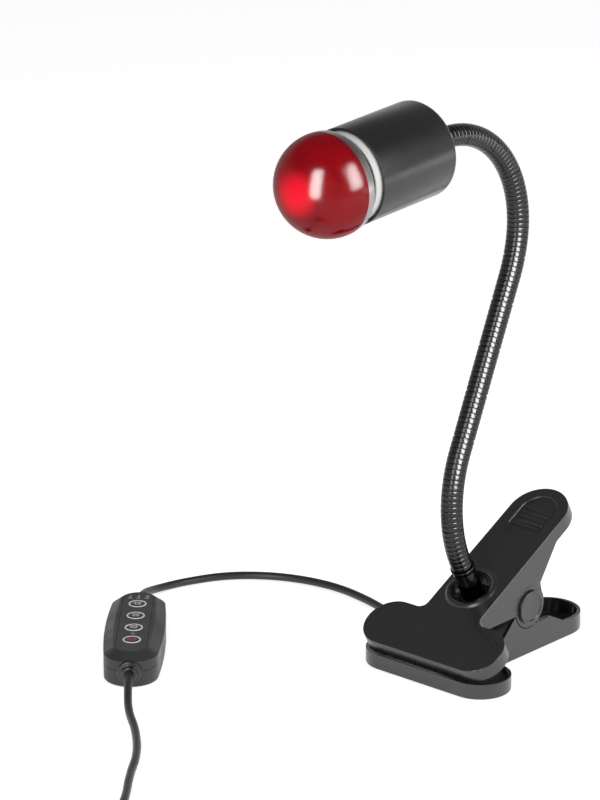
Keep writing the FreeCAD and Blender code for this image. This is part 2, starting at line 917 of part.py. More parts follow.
def case_screws_at():
    return [V(x, y, 0) for x in (-case_screw_x, case_screw_x) for y in (-case_screw_y, case_screw_y)]


def panel_face(grow, z):
    face = stadium(panel_half + grow, panel_half_long + grow, 0, 0)
    face.rotate(V(0, 0, 0), UP, 90)
    face.translate(V(0, 0, z))
    return face


def gland_cut():
    """Room for the two cord glands in the case ends."""
    pocket_r = gland_wide_r + seat_clear
    bore_r = gland_neck_r + seat_clear
    cuts = []
    for side in (-1, 1):
        along = V(0, side, 0)
        cuts.append(cyl(pocket_r, gland_pocket, V(0, side * gland_seat, case_split), along))
        cuts.append(cyl(bore_r, gland_pocket, V(0, side * gland_inner, case_split), along))
    return Part.makeCompound(cuts)


def timer_base():
    low = case_block(0, 0, case_split - case_seam / 2)
    low = low.makeFillet(base_round, edges_at_height(low, 0))
    low = low.cut(case_block(case_wall, case_wall, FAR))
    for place in case_screws_at():
        post = cyl(post_r, case_split - case_seam / 2 - 0.5, place + UP * 0.5).common(case_block(0.5, 0, FAR))
        low = low.fuse(post)
    for x, y in ((0, 20), (0, -20)):
        low = low.fuse(cyl(post_r, board_z - 0.5, V(x, y, 0.5)))
    for place in case_screws_at():
        low = low.cut(cyl(case_screw_r + stud_clear, FAR, place - UP))
        low = low.cut(cyl(case_screw_head_r + stud_clear, case_screw_head_h + 1, place - UP))
    return low.cut(gland_cut())


def timer_cover():
    shoulder_z = case_h - bevel_drop
    low_z = case_split + case_seam / 2
    body = case_block(0, low_z, shoulder_z)
    top = Part.makeLoft([case_outline(0, shoulder_z), case_outline(bevel_in, case_h)], True, True)
    body = body.fuse(top)
    hollow = case_block(case_wall, low_z - 1, shoulder_z - 1.0)
    body = body.cut(hollow)
    for place in case_screws_at():
        post = cyl(post_r, shoulder_z - low_z, place + UP * low_z).common(case_block(0.5, 0, FAR))
        body = body.fuse(post)
    window = panel_face(-panel_ledge, 0).extrude(V(0, 0, FAR))
    seat = panel_face(0, case_h - panel_t).extrude(V(0, 0, FAR))
    body = body.cut(window).cut(seat)
    for place in case_screws_at():
        body = body.cut(cyl(case_screw_r, case_screw_head_h + case_screw_len - low_z, place + UP * low_z))
    return body.cut(gland_cut())


def timer_panel():
    panel = panel_face(-panel_gap, case_h - panel_t).extrude(V(0, 0, panel_t))
    for y in button_ys.values():
        panel = panel.cut(cyl(button_r + button_gap, FAR, V(0, y, 0)))
    for x, y in lens_places:
        panel = panel.cut(cyl(lens_r, FAR, V(x, y, 0)))
    return panel


def timer_button(y):
    button = turned(
        [
            (0, button_bottom, 0),
            (button_flange_r, button_bottom, 0),
            (button_flange_r, button_bottom + button_flange_h, 0),
            (button_r, button_bottom + button_flange_h, 0),
            (button_r, case_h + button_proud, 0.4),
            (button_r - 1.2, case_h + button_proud, 0.3),
            (0, case_h + button_proud - 0.25, 0),
        ],
        V(0, y, 0),
        UP,
    )
    return button


def button_rings():
    inner_r = button_r + button_gap + ring_gap
    return Part.makeCompound(
        [tube(ring_out_r, inner_r, ring_h, V(0, y, case_h)) for y in button_ys.values()]
    )


def lenses():
    low = case_h + lens_proud - lens_len
    return Part.makeCompound([cyl(lens_r, lens_len, V(x, y, low)) for x, y in lens_places])


def circuit_board():
    face = stadium(board_half, board_half_long, 0, 0)
    face.rotate(V(0, 0, 0), UP, 90)
    face.translate(V(0, 0, board_z))
    return face.extrude(V(0, 0, board_t))


def tact_switches():
    top = board_z + board_t
    switches = []
    for y in button_ys.values():
        body = box_of((-switch_half, y - switch_half, top), (switch_half, y + switch_half, top + switch_h))
        switches.append(body.fuse(cyl(plunger_r, plunger_h, V(0, y, top + switch_h))))
    return Part.makeCompound(switches)


def relay():
    wide, deep, high = relay_size
    top = board_z + board_t
    return box_of((-wide / 2, relay_y - deep / 2, top), (wide / 2, relay_y + deep / 2, top + high))


def case_screws():
    screws = []
    for place in case_screws_at():
        head = cyl(case_screw_head_r, case_screw_head_h, place)
        screws.append(head.fuse(cyl(case_screw_r, case_screw_len, place + UP * case_screw_head_h)))
    return Part.makeCompound(screws)


def cord_gland(side):
    """Stepped collar that grips the cord in the case end."""
    return turned(
        [
            (0, gland_inner - 1.6, 0),
            (gland_neck_r + 0.7, gland_inner - 1.6, 0.4),
            (gland_neck_r + 0.7, gland_inner - seat_clear, 0),
            (gland_neck_r, gland_inner - seat_clear, 0),
            (gland_neck_r, gland_seat, 0),
            (gland_wide_r, gland_seat, 0),
            (gland_wide_r, gland_wide_end, 0.7),
            (gland_narrow_r, gland_wide_end, 0),
            (gland_narrow_r, gland_len, 0.5),
            (0, gland_len, 0),
        ],
        V(0, 0, case_split),
        V(0, side, 0),
    )


# ---------------------------------------------------------------- mains lead
def timer_point(x, y, z):
    """World point of a place in the timer's own frame."""
    turn = math.radians(timer_turn)
    return V(
        timer_x + x * math.cos(turn) - y * math.sin(turn),
        timer_y + x * math.sin(turn) + y * math.cos(turn),
        z,
    )


def cord_path(name, points):
    """Straight runs joined by tangent arcs, each arc as large as its runs allow."""
    edges = []
    start = points[0]
    tightest = FAR
    for before, corner, after in zip(points, points[1:], points[2:]):
        back = before - corner
        on = after - corner
        shorter = min(back.Length, on.Length)
        back.normalize()
        on.normalize()
        turn = math.pi - back.getAngle(on)
        radius = 0.45 * shorter / math.tan(turn / 2)
        tightest = min(tightest, radius)
        inwards = back + on
        inwards.normalize()
        half = (math.pi - turn) / 2
        first = corner + back * (0.45 * shorter)
        middle = corner + inwards * (radius / math.sin(half) - radius)
        last = corner + on * (0.45 * shorter)
        edges.append(Part.LineSegment(start, first).toShape())
        edges.append(Part.Arc(first, middle, last).toShape())
        start = last
        print(f"  {name}: turn {math.degrees(turn):.0f} deg, radius {radius:.0f} mm, run {(after - corner).Length:.0f} mm")
    edges.append(Part.LineSegment(start, points[-1]).toShape())
    return Part.Wire(edges)


def cord_tube(name, points):
    path = cord_path(name, points)
    solid = swept(path, cord_r, points[0], points[1] - points[0])
    print(f"  {name}: length {path.Length:.0f} mm, volume / (section x length) {solid.Volume / (math.pi * cord_r**2 * path.Length):.4f}")
    return solid


relief_exit = V(-lower_body_half - relief_flange_t - relief_len, relief_y, relief_z)


def cord_relief():
    """Flexible sleeve where the lead leaves the clip: grips both faces of the side wall."""
    inner_face = lower_body_half - wall
    return turned(
        [
            (cord_r, inner_face - relief_flange_t, 0),
            (relief_flange_r, inner_face - relief_flange_t, 0.4),
            (relief_flange_r, inner_face - seat_clear, 0),
            (relief_hole_r - seat_clear, inner_face - seat_clear, 0),
            (relief_hole_r - seat_clear, lower_body_half + seat_clear, 0),
            (relief_flange_r - 0.4, lower_body_half + seat_clear, 0),
            (relief_flange_r - 0.4, lower_body_half + relief_flange_t, 0.4),
            (relief_hole_r + 0.2, lower_body_half + relief_flange_t, 0),
            (relief_tip_r, lower_body_half + relief_flange_t + relief_len, 0.2),
            (cord_r, lower_body_half + relief_flange_t + relief_len, 0),
        ],
        V(0, relief_y, relief_z),
        V(-1, 0, 0),
    )


def inner_lead():
    """Slack length of lead inside the clip, from the gooseneck's stud to the sleeve."""
    points = [
        on_plate(well_s, -stud_below - 0.4),
        V(0, slack_drop[0], slack_drop[1]),
        V(-slack_turn[0], slack_turn[1], slack_turn[2]),
        V(-slack_run, relief_y, relief_z),
        relief_exit + RIGHT * 0.5,
    ]
    return cord_tube("inner_lead", points)


wound_r = coil_mean_r + coil_wide / 2 + cord_r + end_gap

lamp_cord_points = [
    relief_exit,
    V(-58, 46, 6.6),
    V(-76, 48.5, floor_z),
    V(-103, 58, floor_z),
    V(-138, 63, floor_z),
    V(-173, 54, floor_z),
    V(-200, 33, floor_z),
    V(-213, 6, floor_z),
    V(-215.5, -18, 4.2),
    timer_point(0, gland_len + 16, case_split - 0.6),
    timer_point(0, gland_len + end_gap, case_split),
]

plug_cord_points = [
    timer_point(0, -gland_len - end_gap, case_split),
    timer_point(0.3, -gland_len - 15, case_split - 1.2),
    timer_point(1.5, -gland_len - lead_drop, floor_z),
    V(-73, -187, floor_z),
    V(-48, -212, floor_z),
    V(-30, -238, floor_z),
    V(-10, -262, floor_z),
    V(coil_x - wound_r - 3.2, coil_y + coil_entry, floor_z),
    V(coil_x - wound_r, coil_y, floor_z),
]

plug_axis = V(0.105, 0.9945, 0)
tail_angle = -45.0
tail_runs = [(12.0, 45, floor_z), (12.0, 61, 3.4), (12.0, 75, 5.4), (11.0, 84, plug_thick / 2)]
tail_points = [
    V(
        coil_x + wound_r * math.cos(math.radians(tail_angle)),
        coil_y + wound_r * math.sin(math.radians(tail_angle)),
        floor_z,
    )
]
for run, heading_deg, height in tail_runs:
    following = tail_points[-1] + V(math.cos(math.radians(heading_deg)), math.sin(math.radians(heading_deg)), 0) * run
    tail_points.append(V(following.x, following.y, height))
plug_back = tail_points[-1] + plug_axis * end_gap


def cord_coil():
    """Outer shape of the wound-up lead: a flat ring with rounded edges."""
    inner = coil_mean_r - coil_wide / 2
    outer = coil_mean_r + coil_wide / 2
    return turned(
        [(inner, 0.1, 3), (outer, 0.1, 3), (outer, coil_high, 3), (inner, coil_high, 3)],
        V(coil_x, coil_y, 0),
        UP,
    )


def in_plug_frame(shape):
    """Carry a shape whose +x is the plug's own direction to the plug's place."""
    placed = shape.copy()
    placed.rotate(V(0, 0, 0), UP, math.degrees(math.atan2(plug_axis.y, plug_axis.x)))
    placed.translate(plug_back)
    return placed


def plug_body():
    """Flat two-pin plug, with a narrow waist where the lead enters."""
    relief = plug_relief
    outline = rounded_wire(
        [
            (V(relief, -plug_back_half, 0), 2),
            (V(relief + plug_len * 0.55, -plug_half, 0), 5),
            (V(relief + plug_len, -plug_half, 0), 2),
            (V(relief + plug_len, plug_half, 0), 2),
            (V(relief + plug_len * 0.55, plug_half, 0), 5),
            (V(relief, plug_back_half, 0), 2),
        ]
    )
    body = Part.Face(outline).extrude(V(0, 0, plug_thick - 0.2))
    body = body.makeFillet(2.0, [e for e in body.Edges if abs(e.CenterOfMass.z - 0) < 1e-4 or abs(e.CenterOfMass.z - plug_thick + 0.2) < 1e-4])
    body.translate(V(0, 0, 0.1 - plug_thick / 2))
    sleeve = Part.makeCone(relief_tip_r, relief_hole_r + 1, relief + 1, V(0, 0, 0), RIGHT)
    body = body.fuse(sleeve)
    for side in (-1, 1):
        hole_start = relief + plug_len - plug_pin_in
        body = body.cut(cyl(plug_pin_root_r, FAR, V(hole_start, side * plug_pin_spacing / 2, 0), RIGHT))
    return in_plug_frame(body)


def plug_pins():
    start = plug_relief + plug_len - plug_pin_in
    pins = []
    for side in (-1, 1):
        pin = turned(
            [
                (0, 0, 0),
                (plug_pin_root_r, 0, 0),
                (plug_pin_root_r, plug_pin_in, 0),
                (plug_pin_r, plug_pin_in, 0),
                (plug_pin_r, plug_pin_in + plug_pin_len, plug_pin_tip),
                (0, plug_pin_in + plug_pin_len, 0),
            ],
            V(start, side * plug_pin_spacing / 2, 0),
            RIGHT,
        )
        pins.append(pin)
    return in_plug_frame(Part.makeCompound(pins))


# ---------------------------------------------------------------- write the nodes
def write_clip():
    save("lower_jaw", lower_jaw())
    save("lower_pad", lower_pad())
    save("upper_jaw", upper_jaw())
    save("upper_pad", upper_pad())
    save("hinge_pin", cyl(hinge_pin_r - seat_clear / 2, 2 * pin_half, hinge - RIGHT * pin_half, RIGHT))
    save("pivot_cap_left", pivot_cap(-1))
    save("pivot_cap_right", pivot_cap(1))
    save("torsion_spring", torsion_spring())


def write_gooseneck():
    save("base_ferrule", base_ferrule())
    save("base_washer", base_washer())
    save("base_nut", base_nut())
    for i in range(link_count):
        start = i * link_step
        save(f"neck_link_{i + 1:02d}", neck_link(start, start + link_step - link_gap))


def write_head():
    save("head_ferrule", head_ferrule())
    save("head_nut", head_nut())
    save("lamp_housing", lamp_housing())
    save("heat_liner", heat_liner())
    save("socket_bracket", socket_bracket())
    save("socket_body", socket_body())
    save("socket_shell", socket_shell())
    save("centre_contact", centre_contact())
    save("socket_screws", socket_screws())
    save("bulb_globe", bulb_globe())
    save("bulb_reflector", bulb_reflector())
    save("bulb_cap", bulb_cap())
    save("bulb_contact", bulb_contact())
    save("filament_stem", filament_stem())


def write_timer():
    save("timer_base", at_timer(timer_base()))
    save("timer_cover", at_timer(timer_cover()))
    save("timer_panel", at_timer(timer_panel()))
    for name, y in button_ys.items():
        save(name, at_timer(timer_button(y)))
    save("button_rings", at_timer(button_rings()))
    save("indicator_lenses", at_timer(lenses()))
    save("circuit_board", at_timer(circuit_board()))
    save("tact_switches", at_timer(tact_switches()))
    save("relay", at_timer(relay()))
    save("case_screws", at_timer(case_screws()))
    save("cord_gland_lamp_side", at_timer(cord_gland(1)))
    save("cord_gland_plug_side", at_timer(cord_gland(-1)))


def write_lead():
    save("cord_relief", cord_relief())
    save("inner_lead", inner_lead())
    save("cord_lamp_side", cord_tube("cord_lamp_side", lamp_cord_points))
    save("cord_plug_side", cord_tube("cord_plug_side", plug_cord_points))
    save("cord_coil", cord_coil())
    save("cord_tail", cord_tube("cord_tail", tail_points))
    save("plug_body", plug_body())
    save("plug_pins", plug_pins())


if __name__ == "__main__":
    write_clip()
    write_gooseneck()
    write_head()
    write_timer()
    write_lead()
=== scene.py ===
# %% [markdown]
# # A clip-on heat lamp with an inline timer
# The lamp is a spring clip of moulded plastic, a bendable metal gooseneck, a cylindrical head
# and a red reflector bulb. A timer sits on its mains lead. The solid parts come from the packed
# frame; this script gives them their surfaces, and models what needs finer shapes than a solid.

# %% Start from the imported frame
import json
import math

import bmesh
import bpy
from mathutils import Matrix, Vector

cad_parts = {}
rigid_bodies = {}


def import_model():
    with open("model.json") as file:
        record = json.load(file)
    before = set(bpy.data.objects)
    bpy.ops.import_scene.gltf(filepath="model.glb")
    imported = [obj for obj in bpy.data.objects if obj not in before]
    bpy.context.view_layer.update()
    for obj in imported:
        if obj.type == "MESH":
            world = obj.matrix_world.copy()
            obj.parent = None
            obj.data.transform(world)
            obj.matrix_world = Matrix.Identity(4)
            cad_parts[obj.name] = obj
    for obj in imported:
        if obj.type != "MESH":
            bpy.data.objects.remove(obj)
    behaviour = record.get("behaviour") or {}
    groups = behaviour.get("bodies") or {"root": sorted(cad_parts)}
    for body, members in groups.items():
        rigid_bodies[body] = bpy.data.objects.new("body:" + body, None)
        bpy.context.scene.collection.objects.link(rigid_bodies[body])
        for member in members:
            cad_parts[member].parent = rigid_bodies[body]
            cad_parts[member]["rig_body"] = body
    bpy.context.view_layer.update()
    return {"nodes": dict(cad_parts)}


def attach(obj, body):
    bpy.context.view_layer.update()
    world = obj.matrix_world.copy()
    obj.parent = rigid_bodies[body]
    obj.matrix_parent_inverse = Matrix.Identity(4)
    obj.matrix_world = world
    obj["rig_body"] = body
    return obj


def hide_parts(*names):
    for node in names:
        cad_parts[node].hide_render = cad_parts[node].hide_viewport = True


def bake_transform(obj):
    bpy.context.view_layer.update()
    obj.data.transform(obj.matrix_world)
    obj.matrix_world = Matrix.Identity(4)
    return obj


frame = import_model()
nodes = frame["nodes"]
scene = bpy.context.scene

# %% [markdown]
# ## Camera
# The lamp is seen from its front right, a little from above, and from nearly three metres away
# with a long lens, so that its upright lines stay upright. The camera is set by its place, its
# two angles and its lens, which is how a tripod is set.

# %% Camera
camera_azimuth = math.radians(41.63)
camera_elevation = math.radians(19.27)
camera_data = bpy.data.cameras.new("camera")
camera_data.lens = 218.7
camera_data.clip_end = 30
camera = bpy.data.objects.new("camera", camera_data)
camera.location = (1.7360, -2.0782, 1.1210)
camera.rotation_euler = (math.pi / 2 - camera_elevation, 0, camera_azimuth)
scene.collection.objects.link(camera)
scene.camera = camera
camera_turn = camera.rotation_euler.to_matrix()
print("camera:", round(camera_data.lens, 1), "mm lens,", round(camera.location.length, 2), "m away")


def from_camera(right, up, back):
    """A direction in the room, given as the camera sees it."""
    return (camera_turn @ Vector((right, up, back))).normalized()


# %% [markdown]
# ## Where things are
# The gooseneck's line is a chain of straight and curved runs, each known by its length and the
# angle that it turns through. The lamp head's axis is the line on which the bulb slides. The
# timer lies on the floor, turned to one side. These three places are written once here, and
# every piece is then modelled about its own axis and carried to its place.

# %% Places
MM = 0.001
neck_start = Vector((0, 21.076, 64.329)) * MM
neck_runs = [(75.124, 52.3), (108.8, 0.0), (24.588, -16.4), (116.996, -100.5), (11.5, 0.0)]
neck_first_angle = -28.3
neck_length = sum(length for length, turn in neck_runs)
link_count = 12
link_gap = 0.9
link_step = (neck_length + link_gap) / link_count
HEAD_COLLAR = 9.9  # from the hose's end to the back of the head
WELL_DEPTH = 5.6  # from the rim of the clip's well to its floor, along the gooseneck
GLOBE_AT = 80.3  # from the back of the head to the middle of the bulb's ball


def heading(angle):
    """Unit direction in the plane x = 0, as an angle in degrees from straight up towards +Y."""
    return Vector((0, math.sin(math.radians(angle)), math.cos(math.radians(angle))))


def neck_at(distance):
    """Centre point and direction angle at a distance in millimetres along the gooseneck."""
    point = neck_start.copy()
    angle = neck_first_angle
    if distance < 0:
        return point + heading(angle) * distance * MM, angle
    for length, turn in neck_runs:
        step = min(distance, length)
        bend = turn * step / length
        chord = step
        if abs(bend) > 1e-6:
            half = math.radians(bend) / 2
            chord = step * math.sin(half) / half
        point += heading(angle + bend / 2) * chord * MM
        angle += bend
        distance -= step
        if distance <= 1e-9:
            return point, angle
    return point + heading(angle) * distance * MM, angle


def aimed(origin, axis):
    """Matrix that carries +Z of a piece's own frame to an axis in the room."""
    turn = Vector(axis).normalized().to_track_quat("Z", "Y").to_matrix().to_4x4()
    return Matrix.Translation(origin) @ turn


neck_end, head_angle = neck_at(neck_length)
head_axis = heading(head_angle)
head_back = neck_end + head_axis * HEAD_COLLAR * MM
head_place = aimed(head_back, head_axis)
plate_axis = heading(neck_first_angle)
well_floor = Vector((0, 31.032, 45.839)) * MM - plate_axis * WELL_DEPTH * MM
timer_place = Matrix.Translation((-0.159, -0.097, 0)) @ Matrix.Rotation(math.radians(40), 4, "Z")
case_top = 20.8
print("gooseneck", round(neck_length, 1), "mm long, head axis", [round(c, 4) for c in head_axis])

# %% [markdown]
# ## Tools for making pieces
# Most pieces here are turned: a collar, a cap or a glass bulb is one outline spun about an axis.
# `turned` takes that outline as (radius, height, rounding) corners. It rounds each corner, because
# real edges always catch a line of light, and then spins the outline with bmesh.

# %% Tools
TURN_STEPS = 96
CORNER_STEPS = 4
print("a turned piece has", TURN_STEPS, "steps round, and", CORNER_STEPS, "over each corner")


def in_room(bm, name, place, smooth_angle=35):
    """Scale a bmesh from millimetres, carry it to its place and make it an object."""
    bmesh.ops.transform(bm, matrix=place @ Matrix.Scale(MM, 4), verts=bm.verts)
    bmesh.ops.recalc_face_normals(bm, faces=bm.faces)
    mesh = bpy.data.meshes.new(name)
    bm.to_mesh(mesh)
    bm.free()
    return shown(name, mesh, smooth_angle)


def shown(name, mesh, smooth_angle=35):
    """Put a mesh in the scene, smooth except at its sharp edges."""
    mesh.polygons.foreach_set("use_smooth", [True] * len(mesh.polygons))
    mesh.set_sharp_from_angle(angle=math.radians(smooth_angle))
    piece = bpy.data.objects.new(name, mesh)
    scene.collection.objects.link(piece)
    return piece


def spun(bm, outline, steps=TURN_STEPS, closed=True):
    """Spin an outline of (radius, height) corners about Z, inside a bmesh."""
    corners = [bm.verts.new((radius, 0, height)) for radius, height in outline]
    ends = corners[1:] + corners[:1] if closed else corners[1:]
    edges = [bm.edges.new((a, b)) for a, b in zip(corners, ends)]
    bmesh.ops.spin(
        bm,
        geom=corners + edges,
        cent=(0, 0, 0),
        axis=(0, 0, 1),
        dvec=(0, 0, 0),
        angle=2 * math.pi,
        steps=steps,
        use_merge=True,
        use_duplicate=False,
    )
    bmesh.ops.remove_doubles(bm, verts=bm.verts, dist=1e-4)


def rounded(outline, closed=True):
    """Round the corners of an outline of (radius, height, rounding)."""
    points = []
    count = len(outline)
    for i, (radius, height, rounding) in enumerate(outline):
        here = Vector((radius, height))
        at_end = not closed and i in (0, count - 1)
        if rounding == 0 or at_end:
            points.append((radius, height))
            continue
        before = Vector(outline[i - 1][:2]) - here
        after = Vector(outline[(i + 1) % count][:2]) - here
        reach = rounding / math.tan(before.angle(after) / 2)
        first = here + before.normalized() * reach
        last = here + after.normalized() * reach
        for step in range(CORNER_STEPS + 1):
            t = step / CORNER_STEPS
            curve = first * (1 - t) ** 2 + here * 2 * t * (1 - t) + last * t**2
            points.append((curve.x, curve.y))
    return points


def turned(name, outline, place, steps=TURN_STEPS, closed=True):
    """A turned piece from its outline of (radius, height, rounding) corners."""
    bm = bmesh.new()
    spun(bm, rounded(outline, closed), steps, closed)
    return in_room(bm, name, place)


def copied(solid, name):
    """A merged, smooth-shaded copy of a solid's mesh."""
    bm = bmesh.new()
    bm.from_mesh(nodes[solid].data)
    bmesh.ops.remove_doubles(bm, verts=bm.verts, dist=2e-6)
    mesh = bpy.data.meshes.new(name)
    bm.to_mesh(mesh)
    bm.free()
    piece = shown(name, mesh, 30)
    even = piece.modifiers.new("even_faces", "WEIGHTED_NORMAL")
    even.weight = 100
    even.keep_sharp = True
    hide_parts(solid)
    return piece


def dress(piece, material, body):
    """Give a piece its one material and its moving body."""
    piece.data.materials.clear()
    piece.data.materials.append(material)
    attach(piece, body)
    return piece


# %% [markdown]
# ## Finishes
# Moulded plastic is never quite even: it has a fine grain, and its gloss changes a little where
# it has been handled. Both effects are wanted on several pieces, so each is a node group that
# works on the piece's own coordinates, and gives a height or a value that varies over it.

# %% Shader helpers
def new_material(name):
    material = bpy.data.materials.new(name)
    material.use_nodes = True
    tree = material.node_tree
    return material, tree, tree.nodes["Principled BSDF"]


def node(tree, kind, **settings):
    made = tree.nodes.new(kind)
    for key, value in settings.items():
        setattr(made, key, value)
    return made


def preset(made, values):
    """Set inputs of a node that nothing is linked to."""
    for socket, value in values.items():
        made.inputs[socket].default_value = value


def join(source, output, target, socket):
    """Link an output of one node to an input of another."""
    target.id_data.links.new(source.outputs[output], target.inputs[socket])


def rgba(colour):
    """A full colour from three values, or a grey from one."""
    return (*colour, 1) if isinstance(colour, tuple) else (colour, colour, colour, 1)


def tinted(source, output, first, second, shader):
    """Colour a shader between two colours, as an output from 0 to 1 says."""
    mix = node(shader.id_data, "ShaderNodeMix", data_type="RGBA")
    preset(mix, {"A": rgba(first), "B": rgba(second)})
    join(source, output, mix, "Factor")
    join(mix, "Result", shader, "Base Color")


def bumped(source, output, strength, distance, shader):
    """Let an output raise and sink a shader's surface a little."""
    raised = node(shader.id_data, "ShaderNodeBump")
    preset(raised, {"Strength": strength, "Distance": distance})
    join(source, output, raised, "Height")
    join(raised, "Normal", shader, "Normal")


def group_with(name, inputs, outputs):
    """An empty node group with named float inputs (with defaults) and float outputs."""
    tree = bpy.data.node_groups.new(name, "ShaderNodeTree")
    for label, default in inputs.items():
        socket = tree.interface.new_socket(label, in_out="INPUT", socket_type="NodeSocketFloat")
        socket.default_value = default
    for label in outputs:
        tree.interface.new_socket(label, in_out="OUTPUT", socket_type="NodeSocketFloat")
    return tree, tree.nodes.new("NodeGroupInput"), tree.nodes.new("NodeGroupOutput")


print("materials before the first finish:", len(bpy.data.materials))

# %% Fine grain
# Two sizes of noise, added: the spark-eroded grain of a mould, and the slow waviness under it.
grain, grain_in, grain_out = group_with(
    "moulded_grain",
    {"Grain per metre": 2600.0, "Waves per metre": 60.0, "Low roughness": 0.35, "High roughness": 0.5},
    ["Height", "Roughness"],
)
grain_place = node(grain, "ShaderNodeTexCoord")
grain_fine = node(grain, "ShaderNodeTexNoise")
preset(grain_fine, {"Detail": 2.0})
grain_slow = node(grain, "ShaderNodeTexNoise")
preset(grain_slow, {"Detail": 3.0})
join(grain_place, "Object", grain_fine, "Vector")
join(grain_place, "Object", grain_slow, "Vector")
join(grain_in, "Grain per metre", grain_fine, "Scale")
join(grain_in, "Waves per metre", grain_slow, "Scale")
grain_sum = node(grain, "ShaderNodeMath", operation="MULTIPLY_ADD")
preset(grain_sum, {1: 0.25})
join(grain_slow, "Fac", grain_sum, 0)
join(grain_fine, "Fac", grain_sum, 2)
join(grain_sum, 0, grain_out, "Height")
grain_gloss = node(grain, "ShaderNodeMapRange")
join(grain_slow, "Fac", grain_gloss, "Value")
preset(grain_gloss, {"From Min": 0.3, "From Max": 0.7})
join(grain_in, "Low roughness", grain_gloss, "To Min")
join(grain_in, "High roughness", grain_gloss, "To Max")
join(grain_gloss, "Result", grain_out, "Roughness")
print("group", grain.name, "with", len(grain.nodes), "nodes")

# %% Dust and scuffs
# A mask of thin streaks and specks, strongest where a surface looks up.
dust, dust_in, dust_out = group_with(
    "dust_mask",
    {"Specks per metre": 900.0, "Amount": 0.5},
    ["Mask"],
)
dust_place = node(dust, "ShaderNodeTexCoord")
dust_noise = node(dust, "ShaderNodeTexNoise")
preset(dust_noise, {"Detail": 6.0, "Roughness": 0.7})
join(dust_place, "Object", dust_noise, "Vector")
join(dust_in, "Specks per metre", dust_noise, "Scale")
dust_cut = node(dust, "ShaderNodeMapRange")
preset(dust_cut, {"From Min": 0.58, "From Max": 0.75})
join(dust_noise, "Fac", dust_cut, "Value")
dust_up = node(dust, "ShaderNodeSeparateXYZ")
dust_normal = node(dust, "ShaderNodeNewGeometry")
join(dust_normal, "Normal", dust_up, "Vector")
dust_level = node(dust, "ShaderNodeMapRange")
preset(dust_level, {"From Min": -0.2})
join(dust_up, "Z", dust_level, "Value")
dust_both = node(dust, "ShaderNodeMath", operation="MULTIPLY")
join(dust_cut, "Result", dust_both, 0)
join(dust_level, "Result", dust_both, 1)
dust_share = node(dust, "ShaderNodeMath", operation="MULTIPLY")
join(dust_both, 0, dust_share, 0)
join(dust_in, "Amount", dust_share, 1)
join(dust_share, 0, dust_out, "Mask")
print("group", dust.name, "with", len(dust.nodes), "nodes")


# %% Moulded plastic and rubber
def moulded(name, colour, dusty, grain_size, gloss, bump, dust_amount=0.3, coat=0.0):
    """Plastic or rubber with a grain, an uneven gloss and a trace of dust."""
    material, tree, shader = new_material(name)
    surface = node(tree, "ShaderNodeGroup", node_tree=grain)
    preset(
        surface,
        {"Grain per metre": grain_size, "Low roughness": gloss[0], "High roughness": gloss[1]},
    )
    specks = node(tree, "ShaderNodeGroup", node_tree=dust)
    preset(specks, {"Amount": dust_amount})
    tinted(specks, "Mask", colour, dusty, shader)
    join(surface, "Roughness", shader, "Roughness")
    bumped(surface, "Height", bump, 0.0001, shader)
    preset(shader, {"Coat Weight": coat, "Coat Roughness": 0.12})
    return material


black_plastic = moulded("black_plastic", (0.012, 0.012, 0.013), 0.04, 3000, (0.24, 0.33), 0.10, 0.08)
head_plastic = moulded("head_plastic", (0.011, 0.011, 0.012), 0.04, 3400, (0.24, 0.30), 0.10, 0.06)
preset(black_plastic.node_tree.nodes["Principled BSDF"], {"Specular IOR Level": 0.8})
case_plastic = moulded("case_plastic", (0.022, 0.022, 0.024), 0.06, 2600, (0.40, 0.52), 0.55, 0.2)
panel_plastic = moulded("panel_plastic", (0.030, 0.030, 0.032), 0.07, 2800, (0.45, 0.55), 0.5, 0.2)
button_plastic = moulded("button_plastic", (0.020, 0.020, 0.022), 0.05, 2600, (0.3, 0.4), 0.2, 0.1)
gloss_plastic = moulded("gloss_plastic", (0.012, 0.012, 0.013), 0.04, 1200, (0.12, 0.2), 0.06, 0.1, 0.3)
cord_sheath = moulded("cord_sheath", (0.018, 0.018, 0.020), 0.05, 2000, (0.32, 0.45), 0.15, 0.2)
pad_rubber = moulded("pad_rubber", 0.014, (0.06, 0.06, 0.055), 1800, (0.6, 0.75), 0.5)
board_green = moulded("board_green", (0.02, 0.13, 0.05), (0.05, 0.2, 0.09), 1500, (0.3, 0.4), 0.1)
relay_black = moulded("relay_black", 0.02, 0.05, 1800, (0.4, 0.5), 0.2)
porcelain = moulded(
    "porcelain", (0.78, 0.77, 0.73), (0.6, 0.58, 0.53), 700, (0.2, 0.32), 0.05, 0.3, 0.4
)
liner_white = moulded(
    "liner_white", (0.66, 0.66, 0.65), (0.56, 0.55, 0.53), 1500, (0.35, 0.45), 0.08, 0.2
)
print_white = moulded("print_white", 0.74, 0.6, 2200, (0.4, 0.5), 0.1, 0.2)
print_red = moulded("print_red", (0.42, 0.012, 0.014), (0.3, 0.03, 0.03), 2200, (0.35, 0.45), 0.1, 0.2)
print("moulded finishes:", len(bpy.data.materials))


# %% [markdown]
# ## Metal
# Bare metal takes nearly all its look from what it mirrors. What gives it away as real is that
# its gloss is drawn out along fine lines, so each metal here stretches a noise along one axis.

